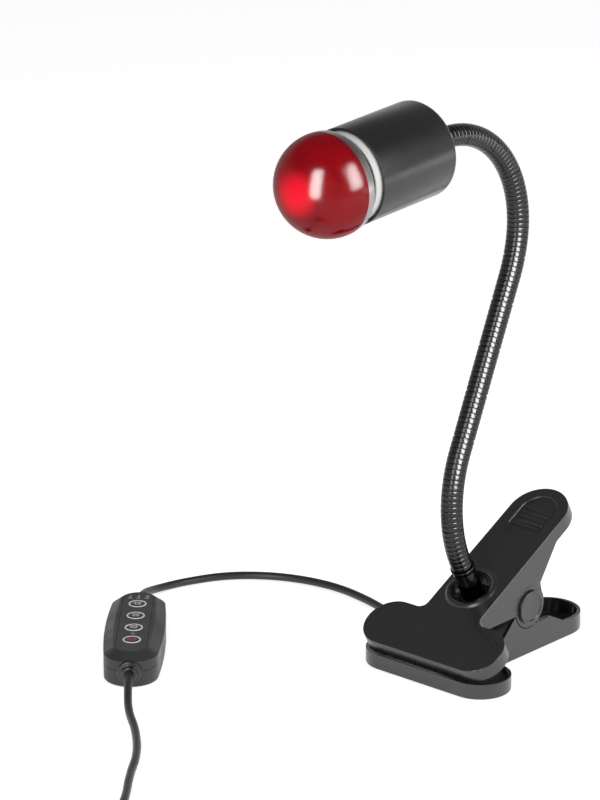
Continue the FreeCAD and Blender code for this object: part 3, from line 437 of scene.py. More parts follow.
# %% Metals
def metal(name, colour, worn, gloss, streak=(60, 60, 2200), bump=0.08):
    """Metal with fine drawn lines in its gloss and a slight change of colour."""
    material, tree, shader = new_material(name)
    place = node(tree, "ShaderNodeTexCoord")
    stretch = node(tree, "ShaderNodeMapping")
    preset(stretch, {"Scale": streak})
    lines = node(tree, "ShaderNodeTexNoise")
    preset(lines, {"Scale": 1.0, "Detail": 4.0})
    join(place, "Object", stretch, "Vector")
    join(stretch, "Vector", lines, "Vector")
    rough = node(tree, "ShaderNodeMapRange")
    preset(rough, {"From Min": 0.3, "From Max": 0.7, "To Min": gloss[0], "To Max": gloss[1]})
    join(lines, "Fac", rough, "Value")
    join(rough, "Result", shader, "Roughness")
    tinted(lines, "Fac", colour, worn, shader)
    bumped(lines, "Fac", bump, 0.00005, shader)
    preset(shader, {"Metallic": 1.0})
    return material


hose_metal = metal("hose_metal", (0.032, 0.032, 0.033), (0.046, 0.046, 0.048), (0.14, 0.22))
collar_metal = metal("collar_metal", (0.024, 0.024, 0.025), (0.036, 0.036, 0.038), (0.10, 0.16))
plain_steel = metal("plain_steel", (0.50, 0.50, 0.51), (0.62, 0.62, 0.63), (0.22, 0.36))
spring_steel = metal("spring_steel", (0.42, 0.42, 0.43), 0.58, (0.2, 0.3), (900, 900, 900))
plated_brass = metal("plated_brass", (0.62, 0.50, 0.28), (0.74, 0.62, 0.38), (0.18, 0.3))
plug_nickel = metal("plug_nickel", (0.62, 0.62, 0.60), (0.72, 0.71, 0.69), (0.14, 0.24), (900, 900, 60))
bulb_aluminium = metal("bulb_aluminium", 0.72, 0.80, (0.2, 0.34))
silvering = metal(
    "silvering", (0.36, 0.33, 0.335), (0.29, 0.27, 0.275), (0.22, 0.34), (90, 90, 90), 0.04
)
print("finishes so far:", len(bpy.data.materials))


# %% [markdown]
# ## Red glass
# The front of the bulb is red glass, and the neck behind it is silvered. The light that makes it
# glow has gone in through the dome, met the silvering and come out again. To follow all of that
# takes many rays, so the glass here is part clear and part plain red, and gives a calm picture at
# few samples. Its mirror is a thin coat, which is the one place where the soft boxes show in it.

# %% Glass
def glass(name, colour, streaks, roughness=0.0):
    """Transparent glass whose colour is slightly uneven, as a dipped lacquer is."""
    material, tree, shader = new_material(name)
    place = node(tree, "ShaderNodeTexCoord")
    cloud = node(tree, "ShaderNodeTexNoise")
    preset(cloud, {"Scale": 35.0, "Detail": 2.0})
    join(place, "Object", cloud, "Vector")
    tinted(cloud, "Fac", colour, streaks, shader)
    preset(shader, {"Roughness": roughness, "Transmission Weight": 1.0, "IOR": 1.5})
    return material


ruby_glass = glass("ruby_glass", (0.26, 0.0003, 0.006), (0.20, 0.0002, 0.004), 0.10)
ruby_shader = ruby_glass.node_tree.nodes["Principled BSDF"]
preset(ruby_shader, {"Transmission Weight": 0.3, "Specular IOR Level": 0.0})
preset(ruby_shader, {"Coat Weight": 0.06, "Coat Roughness": 0.01})
clear_glass = glass("clear_glass", (0.95, 0.96, 0.96), (0.92, 0.94, 0.94))
window_plastic = moulded("window_plastic", (0.17, 0.17, 0.175), 0.25, 900, (0.25, 0.35), 0.1, 0.1, 0.3)
tungsten = metal("tungsten", (0.35, 0.34, 0.33), (0.42, 0.41, 0.40), (0.3, 0.4))
print("all finishes:", len(bpy.data.materials))

# %% [markdown]
# ## The room
# A pale floor runs past the edge of the view, so it is also the backdrop. A tall soft box stands
# near the camera, one more to the right and above, and a weak flat one low at the right. They are
# what the glossy bulb and the dark metal mirror, so their shapes and places matter as much as
# their strength.
#
# A lamp that lights a scene well is seldom as bright as its picture in a polished thing should
# be. So a box can have a twin, its glint, which is seen only in the mirror of chosen pieces.

# %% Floor
floor_material, floor_tree, floor_shader = new_material("pale_floor")
preset(floor_shader, {"Roughness": 0.9, "Specular IOR Level": 0.1})
floor_colour = node(floor_tree, "ShaderNodeTexNoise")
preset(floor_colour, {"Scale": 3.0})
tinted(floor_colour, "Fac", 0.90, 0.93, floor_shader)
# The floor also glows where it is seen or mirrored, so that it stays white, but lights nothing.
FLOOR_GLOW = 0.64
floor_glow = node(floor_tree, "ShaderNodeEmission")
floor_rays = node(floor_tree, "ShaderNodeLightPath")
floor_some = node(floor_tree, "ShaderNodeMath", operation="MAXIMUM")
floor_any = node(floor_tree, "ShaderNodeMath", operation="MAXIMUM")
join(floor_rays, "Is Camera Ray", floor_some, 0)
join(floor_rays, "Is Glossy Ray", floor_some, 1)
join(floor_some, 0, floor_any, 0)
join(floor_rays, "Is Transmission Ray", floor_any, 1)
floor_lit = node(floor_tree, "ShaderNodeMath", operation="MULTIPLY")
preset(floor_lit, {1: FLOOR_GLOW})
join(floor_any, 0, floor_lit, 0)
join(floor_lit, 0, floor_glow, "Strength")
floor_add = node(floor_tree, "ShaderNodeAddShader")
floor_end = floor_tree.nodes["Material Output"]
join(floor_shader, "BSDF", floor_add, 0)
join(floor_glow, "Emission", floor_add, 1)
join(floor_add, "Shader", floor_end, "Surface")
floor_bm = bmesh.new()
FLOOR_HALF = 6.0
FLOOR_DROP = 0.0004  # a hair below the feet, so that the two faces don't flicker
bmesh.ops.create_grid(floor_bm, x_segments=1, y_segments=1, size=FLOOR_HALF)
floor_mesh = bpy.data.meshes.new("floor")
floor_bm.to_mesh(floor_mesh)
floor_bm.free()
floor_mesh.transform(Matrix.Translation((0, 0, -FLOOR_DROP)))
floor = bpy.data.objects.new("floor", floor_mesh)
floor.data.materials.append(floor_material)
scene.collection.objects.link(floor)
print("floor:", 2 * FLOOR_HALF, "m wide")

# %% World
# Bright at the horizon and dim overhead, as in a studio whose walls are white and ceiling dark.
world = bpy.data.worlds.new("studio")
scene.world = world
world.use_nodes = True
sky = world.node_tree
sky_back = sky.nodes["Background"]
preset(sky_back, {"Color": (1, 1, 1, 1)})
sky_place = node(sky, "ShaderNodeTexCoord")
sky_parts = node(sky, "ShaderNodeSeparateXYZ")
sky_ramp = node(sky, "ShaderNodeMapRange", interpolation_type="SMOOTHSTEP")
preset(sky_ramp, {"From Min": 0.18, "From Max": 0.62, "To Min": 0.70, "To Max": 0.20})
join(sky_place, "Generated", sky_parts, "Vector")
join(sky_parts, "Z", sky_ramp, "Value")
join(sky_ramp, "Result", sky_back, "Strength")
print("world:", world.name, "with", len(sky.nodes), "nodes")

# %% Soft boxes
lamp_centre = Vector((0, -0.03, 0.20))
globe_centre = head_back + head_axis * GLOBE_AT * MM


def soft_box(name, target, direction, distance, width, height, power):
    """A rectangular lamp that faces a target from a given direction, and stays upright."""
    data = bpy.data.lights.new(name, "AREA")
    data.shape = "RECTANGLE"
    data.size = width
    data.size_y = height
    data.energy = power
    lamp = bpy.data.objects.new(name, data)
    lamp.location = target + direction * distance
    lamp.rotation_euler = direction.to_track_quat("Z", "Y").to_euler()
    scene.collection.objects.link(lamp)
    return lamp


def glint_for(lamp, radiance):
    """A copy of a soft box that only adds to the mirrored picture of it, on chosen pieces."""
    data = lamp.data.copy()
    data.energy = radiance * math.pi * data.size * data.size_y
    glint = bpy.data.objects.new(lamp.name + "_glint", data)
    glint.visible_camera = False
    glint.visible_diffuse = False
    glint.visible_transmission = False
    glint.location = lamp.location
    glint.rotation_euler = lamp.rotation_euler
    scene.collection.objects.link(glint)
    seen_on = bpy.data.collections.new(glint.name + "_seen_on")
    glint.light_linking.receiver_collection = seen_on
    return seen_on


near_box = soft_box("near_box", globe_centre, from_camera(-0.40, -0.02, 0.91), 1.2, 0.47, 1.35, 10)
right_box = soft_box("right_box", globe_centre, from_camera(0.84, 0.225, 0.493), 1.5, 0.80, 1.20, 15)
side_box = soft_box("side_box", lamp_centre, from_camera(0.95, -0.10, -0.10), 1.6, 0.9, 0.4, 3)
strip_box = soft_box("strip_box", lamp_centre, from_camera(0.43, -0.02, 0.90), 1.2, 0.66, 1.5, 1)
near_glint = glint_for(near_box, 400)
right_glint = glint_for(right_box, 440)
strip_glint = glint_for(strip_box, 25)
bpy.data.objects.remove(strip_box)  # only its glint is wanted, as the line of light on the hose

# Light that the glass gathers: a ball throws what enters it at one side onto the other side.
# A spot lamp that lights only the dome stands for it, and isn't itself seen in any mirror.
gathered = bpy.data.lights.new("gathered", "SPOT")
gathered.energy = 2.6
gathered.spot_size = math.radians(15)
gathered.spot_blend = 1.0
gathered.shadow_soft_size = 0.002
gathered_lamp = bpy.data.objects.new("gathered", gathered)
gathered_lamp.visible_camera = False
gathered_lamp.visible_glossy = False
gathered_lamp.visible_transmission = False
gathered_from = from_camera(-0.50, -0.24, 0.83) * 0.15
gathered_onto = from_camera(-0.62, -0.22, 0.76) * 0.027
gathered_back = gathered_from - gathered_onto
gathered_lamp.location = globe_centre + gathered_from
gathered_lamp.rotation_euler = gathered_back.to_track_quat("Z", "Y").to_euler()
scene.collection.objects.link(gathered_lamp)
gathered_on = bpy.data.collections.new("gathered_seen_on")
gathered_lamp.light_linking.receiver_collection = gathered_on

# %% [markdown]
# ## Mains lead
# A 5 mm lead leaves the clip through a sleeve, lies on the floor to the timer, and goes on from
# there to its plug. What isn't laid out is wound up, as it is for storage. Each length is one
# smooth spline: its points are where a hand would have pushed the lead, and the curve runs
# between them as a stiff rubber sheath does.

# %% Routes
LEAD_DIAMETER = 0.005
LEAD_Z = 0.0026  # the lead's centre where it lies on the floor
lamp_route = [
    (-0.0441, 0.0454, 0.0084), (-0.0580, 0.0460, 0.0066), (-0.0760, 0.0485, LEAD_Z),
    (-0.1030, 0.0580, LEAD_Z), (-0.1380, 0.0630, LEAD_Z), (-0.1730, 0.0540, LEAD_Z),
    (-0.2000, 0.0330, LEAD_Z), (-0.2130, 0.0060, LEAD_Z), (-0.2155, -0.0180, 0.0042),
    (-0.2077, -0.0390, 0.0094), (-0.1975, -0.0511, 0.0100), (-0.1916, -0.0581, 0.0100),
]
plug_route = [
    (-0.1263, -0.1359, 0.0100), (-0.1205, -0.1429, 0.0100), (-0.1108, -0.1540, 0.0088),
    (-0.0963, -0.1693, LEAD_Z), (-0.0730, -0.1870, LEAD_Z), (-0.0480, -0.2120, LEAD_Z),
    (-0.0300, -0.2380, LEAD_Z), (-0.0100, -0.2620, LEAD_Z), (0.0030, -0.2833, LEAD_Z),
]
tail_route = [
    (0.0792, -0.3242, LEAD_Z), (0.0850, -0.3137, 0.0034), (0.0881, -0.3021, 0.0054),
    (0.0893, -0.2909, 0.0068),
]
print("points laid out:", len(lamp_route), "to the timer,", len(plug_route), "on from it")

# %% Coil
# The spare lead is wound in a ring: three turns side by side on the floor, from the outside in,
# then back out on top of them. All the turns step over at the same place, where they cross.
coil_centre = Vector((0.044, -0.306, 0))
LOW_TURN = 2.6
HIGH_TURN = 7.6
STEP_OVER = 206  # degrees, where each turn steps over to the next
turn_radii = [32.5, 27.5, 22.5, 22.5, 27.5, 32.5]
turn_heights = [LOW_TURN] * 3 + [HIGH_TURN] * 3
turn_points = 16
pull = 1.019  # the spline runs inside its points by this much


def coil_point(angle, radius, height):
    turn = math.radians(angle)
    reach = radius * pull * MM
    return (
        coil_centre.x + reach * math.cos(turn),
        coil_centre.y + reach * math.sin(turn),
        height * MM,
    )


coil_route = [coil_point(188, 36.6, LOW_TURN), coil_point(207, 34.0, LOW_TURN)]
for i, (radius, height) in enumerate(zip(turn_radii, turn_heights)):
    last = i == len(turn_radii) - 1
    angle = 232.5
    stop = 290 if last else 180 + 360
    while angle < stop + 1e-6:
        coil_route.append(coil_point(angle, radius, height))
        angle += 360 / turn_points
    if not last:
        between = (radius + turn_radii[i + 1]) / 2
        coil_route.append(coil_point(STEP_OVER, between, (height + turn_heights[i + 1]) / 2))
leaving = [(302, 34.4, 7.7), (314, 37.6, 6.2), (324, 38.9, 3.6)]
coil_route += [coil_point(*step) for step in leaving]


def lead_along(name, route):
    """A round lead along one smooth spline through the room."""
    curve = bpy.data.curves.new(name, "CURVE")
    curve.dimensions = "3D"
    spline = curve.splines.new("NURBS")
    spline.points.add(len(route) - 1)
    for point, place in zip(spline.points, route):
        point.co = (*place, 1)
    spline.order_u = 3
    spline.use_endpoint_u = True
    spline.resolution_u = 8
    curve.bevel_depth = LEAD_DIAMETER / 2
    curve.bevel_resolution = 5
    curve.use_fill_caps = True
    piece = bpy.data.objects.new(name, curve)
    scene.collection.objects.link(piece)
    return piece


lamp_lead = lead_along("lamp_lead", lamp_route)
plug_lead = lead_along("plug_lead", plug_route + coil_route + tail_route)
dress(lamp_lead, cord_sheath, "clip_base")
dress(plug_lead, cord_sheath, "clip_base")
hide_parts("cord_lamp_side")
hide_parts("cord_plug_side", "cord_coil", "cord_tail")


def line_of(route, name):
    """Points along a route's spline, read from the curve itself."""
    bare = lead_along(name, route)
    bare.data.bevel_depth = 0
    bpy.context.view_layer.update()
    mesh = bpy.data.meshes.new_from_object(bare)
    points = [vertex.co.copy() for vertex in mesh.vertices]
    bpy.data.objects.remove(bare)
    bpy.data.meshes.remove(mesh)
    return points


def run_length(line):
    return sum((b - a).length for a, b in zip(line, line[1:]))


lamp_line = line_of(lamp_route, "lamp_line")
plug_line = line_of(plug_route + coil_route + tail_route, "plug_line")
for label, line in (("lamp lead", lamp_line), ("plug lead", plug_line)):
    print(label, round(run_length(line), 3), "m")

# %% [markdown]
# ## Gooseneck
# The real hose is a steel strip wound so that its turns lock into each other: from outside it is
# a row of close rounded ribs. It bends at every turn. Here it bends between twelve lengths, so
# each length is turned as nine ribs with its outline spun straight, and then laid along the
# neck's line. A sleeve reaches from each length into the next and closes the joint as it bends.

# %% Hose
RIBS_A_LENGTH = 9
rib_pitch = link_step / RIBS_A_LENGTH
HOSE_BORE = 4.6
SLEEVE_R = 6.1
SLEEVE_ROOM = 6.2
END_FACE = 0.34  # how far an end face stands back from the joint
# Half of a rib's outline, as (radius, distance from its middle). The ribs at a joint are narrower.
half_rib = [(6.35, 1.50), (6.55, 1.45), (6.65, 1.28), (6.69, 0.85), (6.70, 0.35)]
end_rib = [(6.35, 1.30), (6.55, 1.26), (6.65, 1.12), (6.69, 0.80), (6.70, 0.35)]


def hose_outline(first_length, last_length):
    """Ribs, end face, sleeve and bore of one length, with heights from its lower joint."""
    points = []
    for rib in range(RIBS_A_LENGTH):
        middle = (rib + 0.5) * rib_pitch
        lower = end_rib if rib == 0 else half_rib
        upper = end_rib if rib == RIBS_A_LENGTH - 1 else half_rib
        points += [(radius, middle - half) for radius, half in lower]
        points += [(radius, middle + half) for radius, half in reversed(upper)]
    top = link_step
    low_room = HOSE_BORE if first_length else SLEEVE_ROOM
    sleeve = [
        (SLEEVE_R, top - END_FACE), (SLEEVE_R, top + 0.3), (5.4, top + 1.3),
        (HOSE_BORE, top + 1.3),
    ]
    if last_length:
        sleeve = [(HOSE_BORE, top - END_FACE)]
    bottom = [(HOSE_BORE, 2.6), (low_room, 2.4), (low_room, END_FACE)]
    return points + sleeve + bottom


def hose_piece(index):
    """One length of hose, laid along the neck's line."""
    bm = bmesh.new()
    spun(bm, hose_outline(index == 0, index == link_count - 1), 64)
    bmesh.ops.recalc_face_normals(bm, faces=bm.faces)
    joint = index * link_step - link_gap / 2
    for vertex in bm.verts:
        centre, angle = neck_at(joint + vertex.co.z)
        tilt = math.radians(angle)
        across = Vector((0, math.cos(tilt), -math.sin(tilt)))
        vertex.co = centre + Vector((vertex.co.x * MM, 0, 0)) + across * vertex.co.y * MM
    mesh = bpy.data.meshes.new("hose")
    bmesh.ops.recalc_face_normals(bm, faces=bm.faces)
    bm.to_mesh(mesh)
    bm.free()
    return shown(f"hose_{index + 1:02d}", mesh, 50)


for index in range(link_count):
    piece = hose_piece(index)
    name = f"neck_link_{index + 1:02d}"
    dress(piece, hose_metal, nodes[name]["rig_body"])
    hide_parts(name)
    strip_glint.objects.link(piece)
print("hose:", link_count, "lengths,", len(piece.data.polygons), "faces each")

# %% [markdown]
# ## Collars
# A polished collar holds each end of the hose. The lower one stands in the clip's well, on a
# flange, and opens a little at its top, where the hose goes in.

# %% Collars
base_place = aimed(well_floor, plate_axis)
base_collar = turned(
    "base_collar",
    [
        (3.4, 0, 0), (9.0, 0, 0.2), (9.0, 1.6, 0.5), (7.0, 1.6, 0.4), (7.0, 22.6, 2.0),
        (7.5, 24.3, 0.5), (7.5, 25.7, 0.35), (6.9, 25.7, 0.1), (6.4, 23.6, 0), (3.4, 23.6, 0),
    ],
    base_place,
)
dress(base_collar, collar_metal, "upper_clip")
strip_glint.objects.link(base_collar)
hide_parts("base_ferrule")
stud_outline = [(3.4, -10.4, 0), (4.9, -10.4, 0.5), (4.9, 0.2, 0), (3.4, 0.2, 0)]
base_stud = turned("base_stud", stud_outline, base_place)
dress(base_stud, plain_steel, "upper_clip")

head_collar = turned(
    "head_collar",
    [
        (3.4, -8.9, 0), (6.7, -8.9, 0.2), (7.3, -8.6, 0.4), (7.3, -7.2, 0.3), (7.0, -6.6, 0.3),
        (7.0, -1.6, 0.4), (9.0, -1.6, 0.5), (9.0, 0, 0.1), (4.9, 0, 0), (4.9, 9.1, 0.4),
        (3.4, 9.1, 0),
    ],
    head_place,
)
dress(head_collar, collar_metal, "lamp_head")
strip_glint.objects.link(head_collar)
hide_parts("head_ferrule")
print("collars:", base_collar.name, head_collar.name)

# %% [markdown]
# ## Lamp head
# The head is a deep cup of satin plastic. Inside it a white heat-resistant liner stands a few
# millimetres proud of the rim, and holds the glass clear of the wall. Both are turned, with
# thin walls, so that the gap between them is a real dark gap.

# %% Head
HOUSING_R = 28.9
HOUSING_INSIDE = 27.4
HOUSING_END = 64.1
LINER_R = 26.9
LINER_INSIDE = 25.7
LINER_END = 69.0
FINE_TURN = 128  # steps round the large, smooth pieces
housing = turned(
    "head_housing",
    [
        (5.0, 0, 0), (HOUSING_R, 0, 2.6), (HOUSING_R, HOUSING_END, 0.45),
        (HOUSING_INSIDE, HOUSING_END, 0.3), (HOUSING_INSIDE, 2.0, 1.2), (5.0, 2.0, 0),
    ],
    head_place,
    FINE_TURN,
)
dress(housing, head_plastic, "lamp_head")
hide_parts("lamp_housing")
liner = turned(
    "heat_liner_ring",
    [
        (18.1, 10.0, 0), (LINER_R, 10.0, 0.6), (LINER_R, LINER_END, 0.5),
        (LINER_INSIDE, LINER_END, 0.5), (LINER_INSIDE, 11.2, 0.4), (18.1, 11.2, 0),
    ],
    head_place,
    FINE_TURN,
)
dress(liner, liner_white, "lamp_head")
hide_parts("heat_liner")
print("the liner stands", round(LINER_END - HOUSING_END, 1), "mm proud")

# %% [markdown]
# ## Bulb
# A reflector bulb is one blown envelope: a silvered neck that flares out, and a round front that
# is left clear and coloured. The silvering is a thin mirror, so the neck is metal here, and the
# front is a real shell of glass, 1.2 mm thick, with its inner face.

# %% Envelope
GLOBE_R = 30.8
GLASS = 1.2
SILVER_END = 79.6  # height at which the silvering ends and the red glass starts
SHOULDER = 73.8  # height at which the flared neck meets the ball
DOME_STEPS = 44


def dome_arc(radius):
    """Points of the dome from its pole to the silvering's edge."""
    widest = math.acos((SILVER_END - GLOBE_AT) / radius)
    angles = [widest * i / DOME_STEPS for i in range(DOME_STEPS + 1)]
    return [(radius * math.sin(a), GLOBE_AT + radius * math.cos(a)) for a in angles]


dome_bm = bmesh.new()
spun(dome_bm, dome_arc(GLOBE_R) + dome_arc(GLOBE_R - GLASS)[::-1], FINE_TURN, False)
dome = in_room(dome_bm, "bulb_dome", head_place, 60)
dress(dome, ruby_glass, "bulb")
near_glint.objects.link(dome)
gathered_on.objects.link(dome)
right_glint.objects.link(dome)
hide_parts("bulb_globe")


def ball_radius(height, wall=0.0):
    """Radius of the ball's outer face, or of its inner face, at a height on the head's axis."""
    return math.sqrt((GLOBE_R - wall) ** 2 - (height - GLOBE_AT) ** 2)


silver_steps = [SILVER_END - i * (SILVER_END - SHOULDER) / 6 for i in range(6)]
reflector = turned(
    "bulb_reflector_cup",
    [
        (13.6, 41.0, 0), (13.6, 46.0, 4), (18.5, 58.0, 5), (24.0, 69.6, 3),
        (ball_radius(SHOULDER), SHOULDER, 1.2),
    ]
    + [(ball_radius(height), height, 0) for height in reversed(silver_steps)]
    + [(ball_radius(height, GLASS), height, 0) for height in silver_steps]
    + [
        (ball_radius(SHOULDER, GLASS), SHOULDER + 0.6, 0.8), (22.8, 70.2, 2.5), (17.3, 58.4, 5),
        (12.4, 46.0, 4), (12.4, 41.0, 0),
    ],
    head_place,
    FINE_TURN,
)
dress(reflector, silvering, "bulb")
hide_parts("bulb_reflector")
print("bulb:", 2 * GLOBE_R, "mm across")

# %% Stem and filament
stem = turned(
    "bulb_stem",
    [(0, 21.6, 0), (4.4, 21.6, 0.5), (4.4, 41.0, 3), (2.4, 58.0, 1.5), (0, 58.0, 0)],
    head_place,
    48,
    False,
)
dress(stem, clear_glass, "bulb")
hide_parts("filament_stem")
WIRE_R = 0.45
FILAMENT_AT = 78
FILAMENT_LENGTH = 8
FILAMENT_COIL_R = 0.7
filament_beads = 18 * 8  # eighteen turns of eight beads
wires = bmesh.new()
for side in (-1, 1):
    bmesh.ops.create_cone(
        wires,
        cap_ends=True,
        segments=16,
        radius1=WIRE_R,
        radius2=WIRE_R,
        depth=20.5,
        matrix=Matrix.Translation((side * 1.8, 0, 67.6)),
    )
for i in range(filament_beads):
    across = -FILAMENT_LENGTH / 2 + FILAMENT_LENGTH * i / filament_beads
    turn = i * math.pi / 4
    out = FILAMENT_COIL_R * math.cos(turn)
    up = FILAMENT_AT + FILAMENT_COIL_R * math.sin(turn)
    bead_place = Matrix.Translation((across, out, up))
    bmesh.ops.create_icosphere(wires, subdivisions=1, radius=0.2, matrix=bead_place)
filament = in_room(wires, "bulb_filament", head_place)
dress(filament, tungsten, "bulb")
print("filament:", filament_beads, "beads")

# %% [markdown]
# ## Clip
# The two jaws are moulded shells, open on their inner sides, with a well, a hinge and a thumb
# rest. Their shapes come straight from the solids. They are copied and their loose triangles
# merged, so that rounded edges shade as rounded edges while large faces stay flat, and finished
# in satin black.

# %% Jaws and their fittings
clip_parts = {
    "lower_jaw": (black_plastic, "black_abs"),
    "upper_jaw": (black_plastic, "black_abs"),
    "lower_pad": (pad_rubber, "rubber_pad"),
    "upper_pad": (pad_rubber, "rubber_pad"),
    "hinge_pin": (plain_steel, "steel"),
    "torsion_spring": (spring_steel, "steel"),
    "base_washer": (plain_steel, "steel"),
    "base_nut": (plain_steel, "steel"),
    "head_nut": (plain_steel, "steel"),
    "socket_bracket": (plain_steel, "steel"),
    "socket_body": (porcelain, "socket_white"),
    "socket_shell": (plated_brass, "brass"),
    "centre_contact": (plated_brass, "brass"),
    "socket_screws": (plain_steel, "steel"),
    "bulb_cap": (bulb_aluminium, "bulb_cap_metal"),
    "bulb_contact": (plated_brass, "brass"),
}
for name, (material, finish) in clip_parts.items():
    dress(copied(name, name + "_skin"), material, nodes[name]["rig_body"])
print("copied pieces:", len(clip_parts))

# %% Hinge caps
# A shallow turned cap with a raised rim covers each end of the hinge pin.
hinge_centre = Vector((0, 0.0615, 0.0308))
CAP_SEAT = 0.0207  # from the middle of the clip to the face that a cap lies on
for side, word in ((-1, "left"), (1, "right")):
    cap_place = aimed(hinge_centre + Vector((side * CAP_SEAT, 0, 0)), Vector((side, 0, 0)))
    cap = turned(
        f"hinge_cap_{word}",
        [
            (0, -1.3, 0), (2.5, -1.3, 0), (2.5, 0, 0), (10.6, 0, 0.1), (10.6, 1.9, 0.8),
            (8.9, 1.9, 0.45), (8.4, 1.3, 0.3), (0, 1.3, 0),
        ],
        cap_place,
        96,
        False,
    )
    dress(cap, black_plastic, "upper_clip")
    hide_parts(f"pivot_cap_{word}")
print("hinge at", [round(c, 4) for c in hinge_centre])

# %% [markdown]
# ## Timer
# A small case in two halves, with a long round-ended panel let into its top. Four buttons stand
# in white rings, and four little windows show its lights. The case is grained more coarsely than
# the clip, so it looks greyer wherever light falls along it.

# %% Case
timer_parts = {
    "timer_panel": (panel_plastic, "timer_case"),
    "circuit_board": (board_green, "board"),
    "tact_switches": (relay_black, "component"),
    "relay": (relay_black, "component"),
    "case_screws": (plain_steel, "steel"),
}
timer_pieces = []
for name, (material, finish) in timer_parts.items():
    timer_pieces.append(dress(copied(name, name + "_skin"), material, "clip_base"))
for name in ("timer_base", "timer_cover"):
    half = nodes[name]
    half.data.materials.clear()
    half.data.materials.append(case_plastic)
    timer_pieces.append(half)
print("case pieces:", [piece.name for piece in timer_pieces])


# %% Buttons
INK = 0.06  # how far the print stands up


def printed(bm, corners, z):
    """A thin closed shape of print, extruded from one flat face."""
    verts = [bm.verts.new((x, y, z)) for x, y in corners]
    face = bm.faces.new(verts)
    up = bmesh.ops.extrude_face_region(bm, geom=[face])
    raised = [v for v in up["geom"] if isinstance(v, bmesh.types.BMVert)]
    bmesh.ops.translate(bm, vec=(0, 0, INK), verts=raised)


def arc_band(radius, width, start, stop, steps=24, centre=(0, 0)):
    """Corners of a curved band of even width, with angles in degrees."""
    inner = []
    outer = []
    for i in range(steps + 1):
        turn = math.radians(start + (stop - start) * i / steps)
        for corners, reach in ((inner, radius - width / 2), (outer, radius + width / 2)):
            corners.append((centre[0] + reach * math.cos(turn), centre[1] + reach * math.sin(turn)))
    return outer + inner[::-1]


def bar(start, end, width):
    """Corners of a straight stroke."""
    run = Vector((end[0] - start[0], end[1] - start[1])).normalized()
    side = Vector((-run.y, run.x)) * width / 2
    ends = [(*start, 1), (*end, 1), (*end, -1), (*start, -1)]
    return [(x + side.x * way, y + side.y * way) for x, y, way in ends]


BUTTON_TOP = case_top + 0.5
BUTTON_YS = {
    "button_timer_1": 29.0,
    "button_timer_2": 9.6,
    "button_timer_3": -9.8,
    "button_power": -29.3,
}
STROKE = 0.42
CLOCK_AT = (0, -0.1)


def alarm_clock(bm, z):
    """A clock face with two hands, two bells and two feet."""
    printed(bm, arc_band(1.75, STROKE, -270, 89.9, 40, CLOCK_AT), z)
    printed(bm, bar(CLOCK_AT, (0, 0.95), STROKE * 0.9), z)
    printed(bm, bar((-0.05, -0.1), (0.85, -0.1), STROKE * 0.9), z)
    for side in (-1, 1):
        bell = 90 - side * 42
        printed(bm, arc_band(2.55, STROKE, bell - 17, bell + 17, 12, CLOCK_AT), z)
        foot = math.radians(-90 + side * 38)
        near = (1.9 * math.cos(foot), -0.1 + 1.9 * math.sin(foot))
        far = (2.55 * math.cos(foot), -0.1 + 2.55 * math.sin(foot))
        printed(bm, bar(near, far, STROKE), z)


def power_mark(bm, z):
    """An open ring with a stroke in its gap."""
    printed(bm, arc_band(2.2, 0.7, 122, 418, 48), z)
    printed(bm, bar((0, 0.55), (0, 2.75), 0.7), z)


for name, y in BUTTON_YS.items():
    place = timer_place @ Matrix.Translation((0, y * MM, 0))
    button = turned(
        name + "_top",
        [
            (0, 17.0, 0), (5.2, 17.0, 0), (5.2, 17.8, 0.1), (4.3, 17.8, 0.1),
            (4.3, BUTTON_TOP - 0.05, 0.5), (2.6, BUTTON_TOP, 0.4), (0, BUTTON_TOP, 0),
        ],
        place,
        72,
        False,
    )
    body = nodes[name]["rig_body"]
    dress(button, button_plastic, body)
    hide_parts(name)
    mark_bm = bmesh.new()
    is_power = name == "button_power"
    (power_mark if is_power else alarm_clock)(mark_bm, BUTTON_TOP - 0.02)
    mark = in_room(mark_bm, name + "_mark", place)
    dress(mark, print_red if is_power else print_white, body)
    timer_pieces += [button, mark]
print("buttons:", list(BUTTON_YS))

# %% Rings, windows and numbers
def turned_set(outline, places, steps, closed=True):
    """The same turned shape at several places, in one bmesh."""
    together = bmesh.new()
    for x, y in places:
        one = bmesh.new()
        spun(one, rounded(outline, closed), steps, closed)
        bmesh.ops.translate(one, vec=(x, y, 0), verts=one.verts)
        held = bpy.data.meshes.new("held")
        one.to_mesh(held)
        one.free()
        together.from_mesh(held)
        bpy.data.meshes.remove(held)
    return together


RING_TOP = case_top + 0.3
ring_outline = [(4.65, case_top, 0), (5.55, case_top, 0), (5.55, RING_TOP, 0.12), (4.65, RING_TOP, 0.12)]
rings = turned_set(ring_outline, [(0, y) for y in BUTTON_YS.values()], 72)
ring_piece = in_room(rings, "button_ring_set", timer_place)
dress(ring_piece, print_white, "clip_base")
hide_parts("button_rings")

WINDOWS = [(-5.2, 38.6), (0.0, 38.6), (5.2, 38.6), (0.0, -19.4)]
window_outline = [
    (0, 18.2, 0), (1.4, 18.2, 0), (1.4, case_top - 0.02, 0.1), (0.8, case_top + 0.13, 0.3),
    (0, case_top + 0.15, 0),
]
windows = turned_set(window_outline, WINDOWS, 40, False)
window_piece = in_room(windows, "indicator_windows", timer_place)
dress(window_piece, window_plastic, "clip_base")
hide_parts("indicator_lenses")

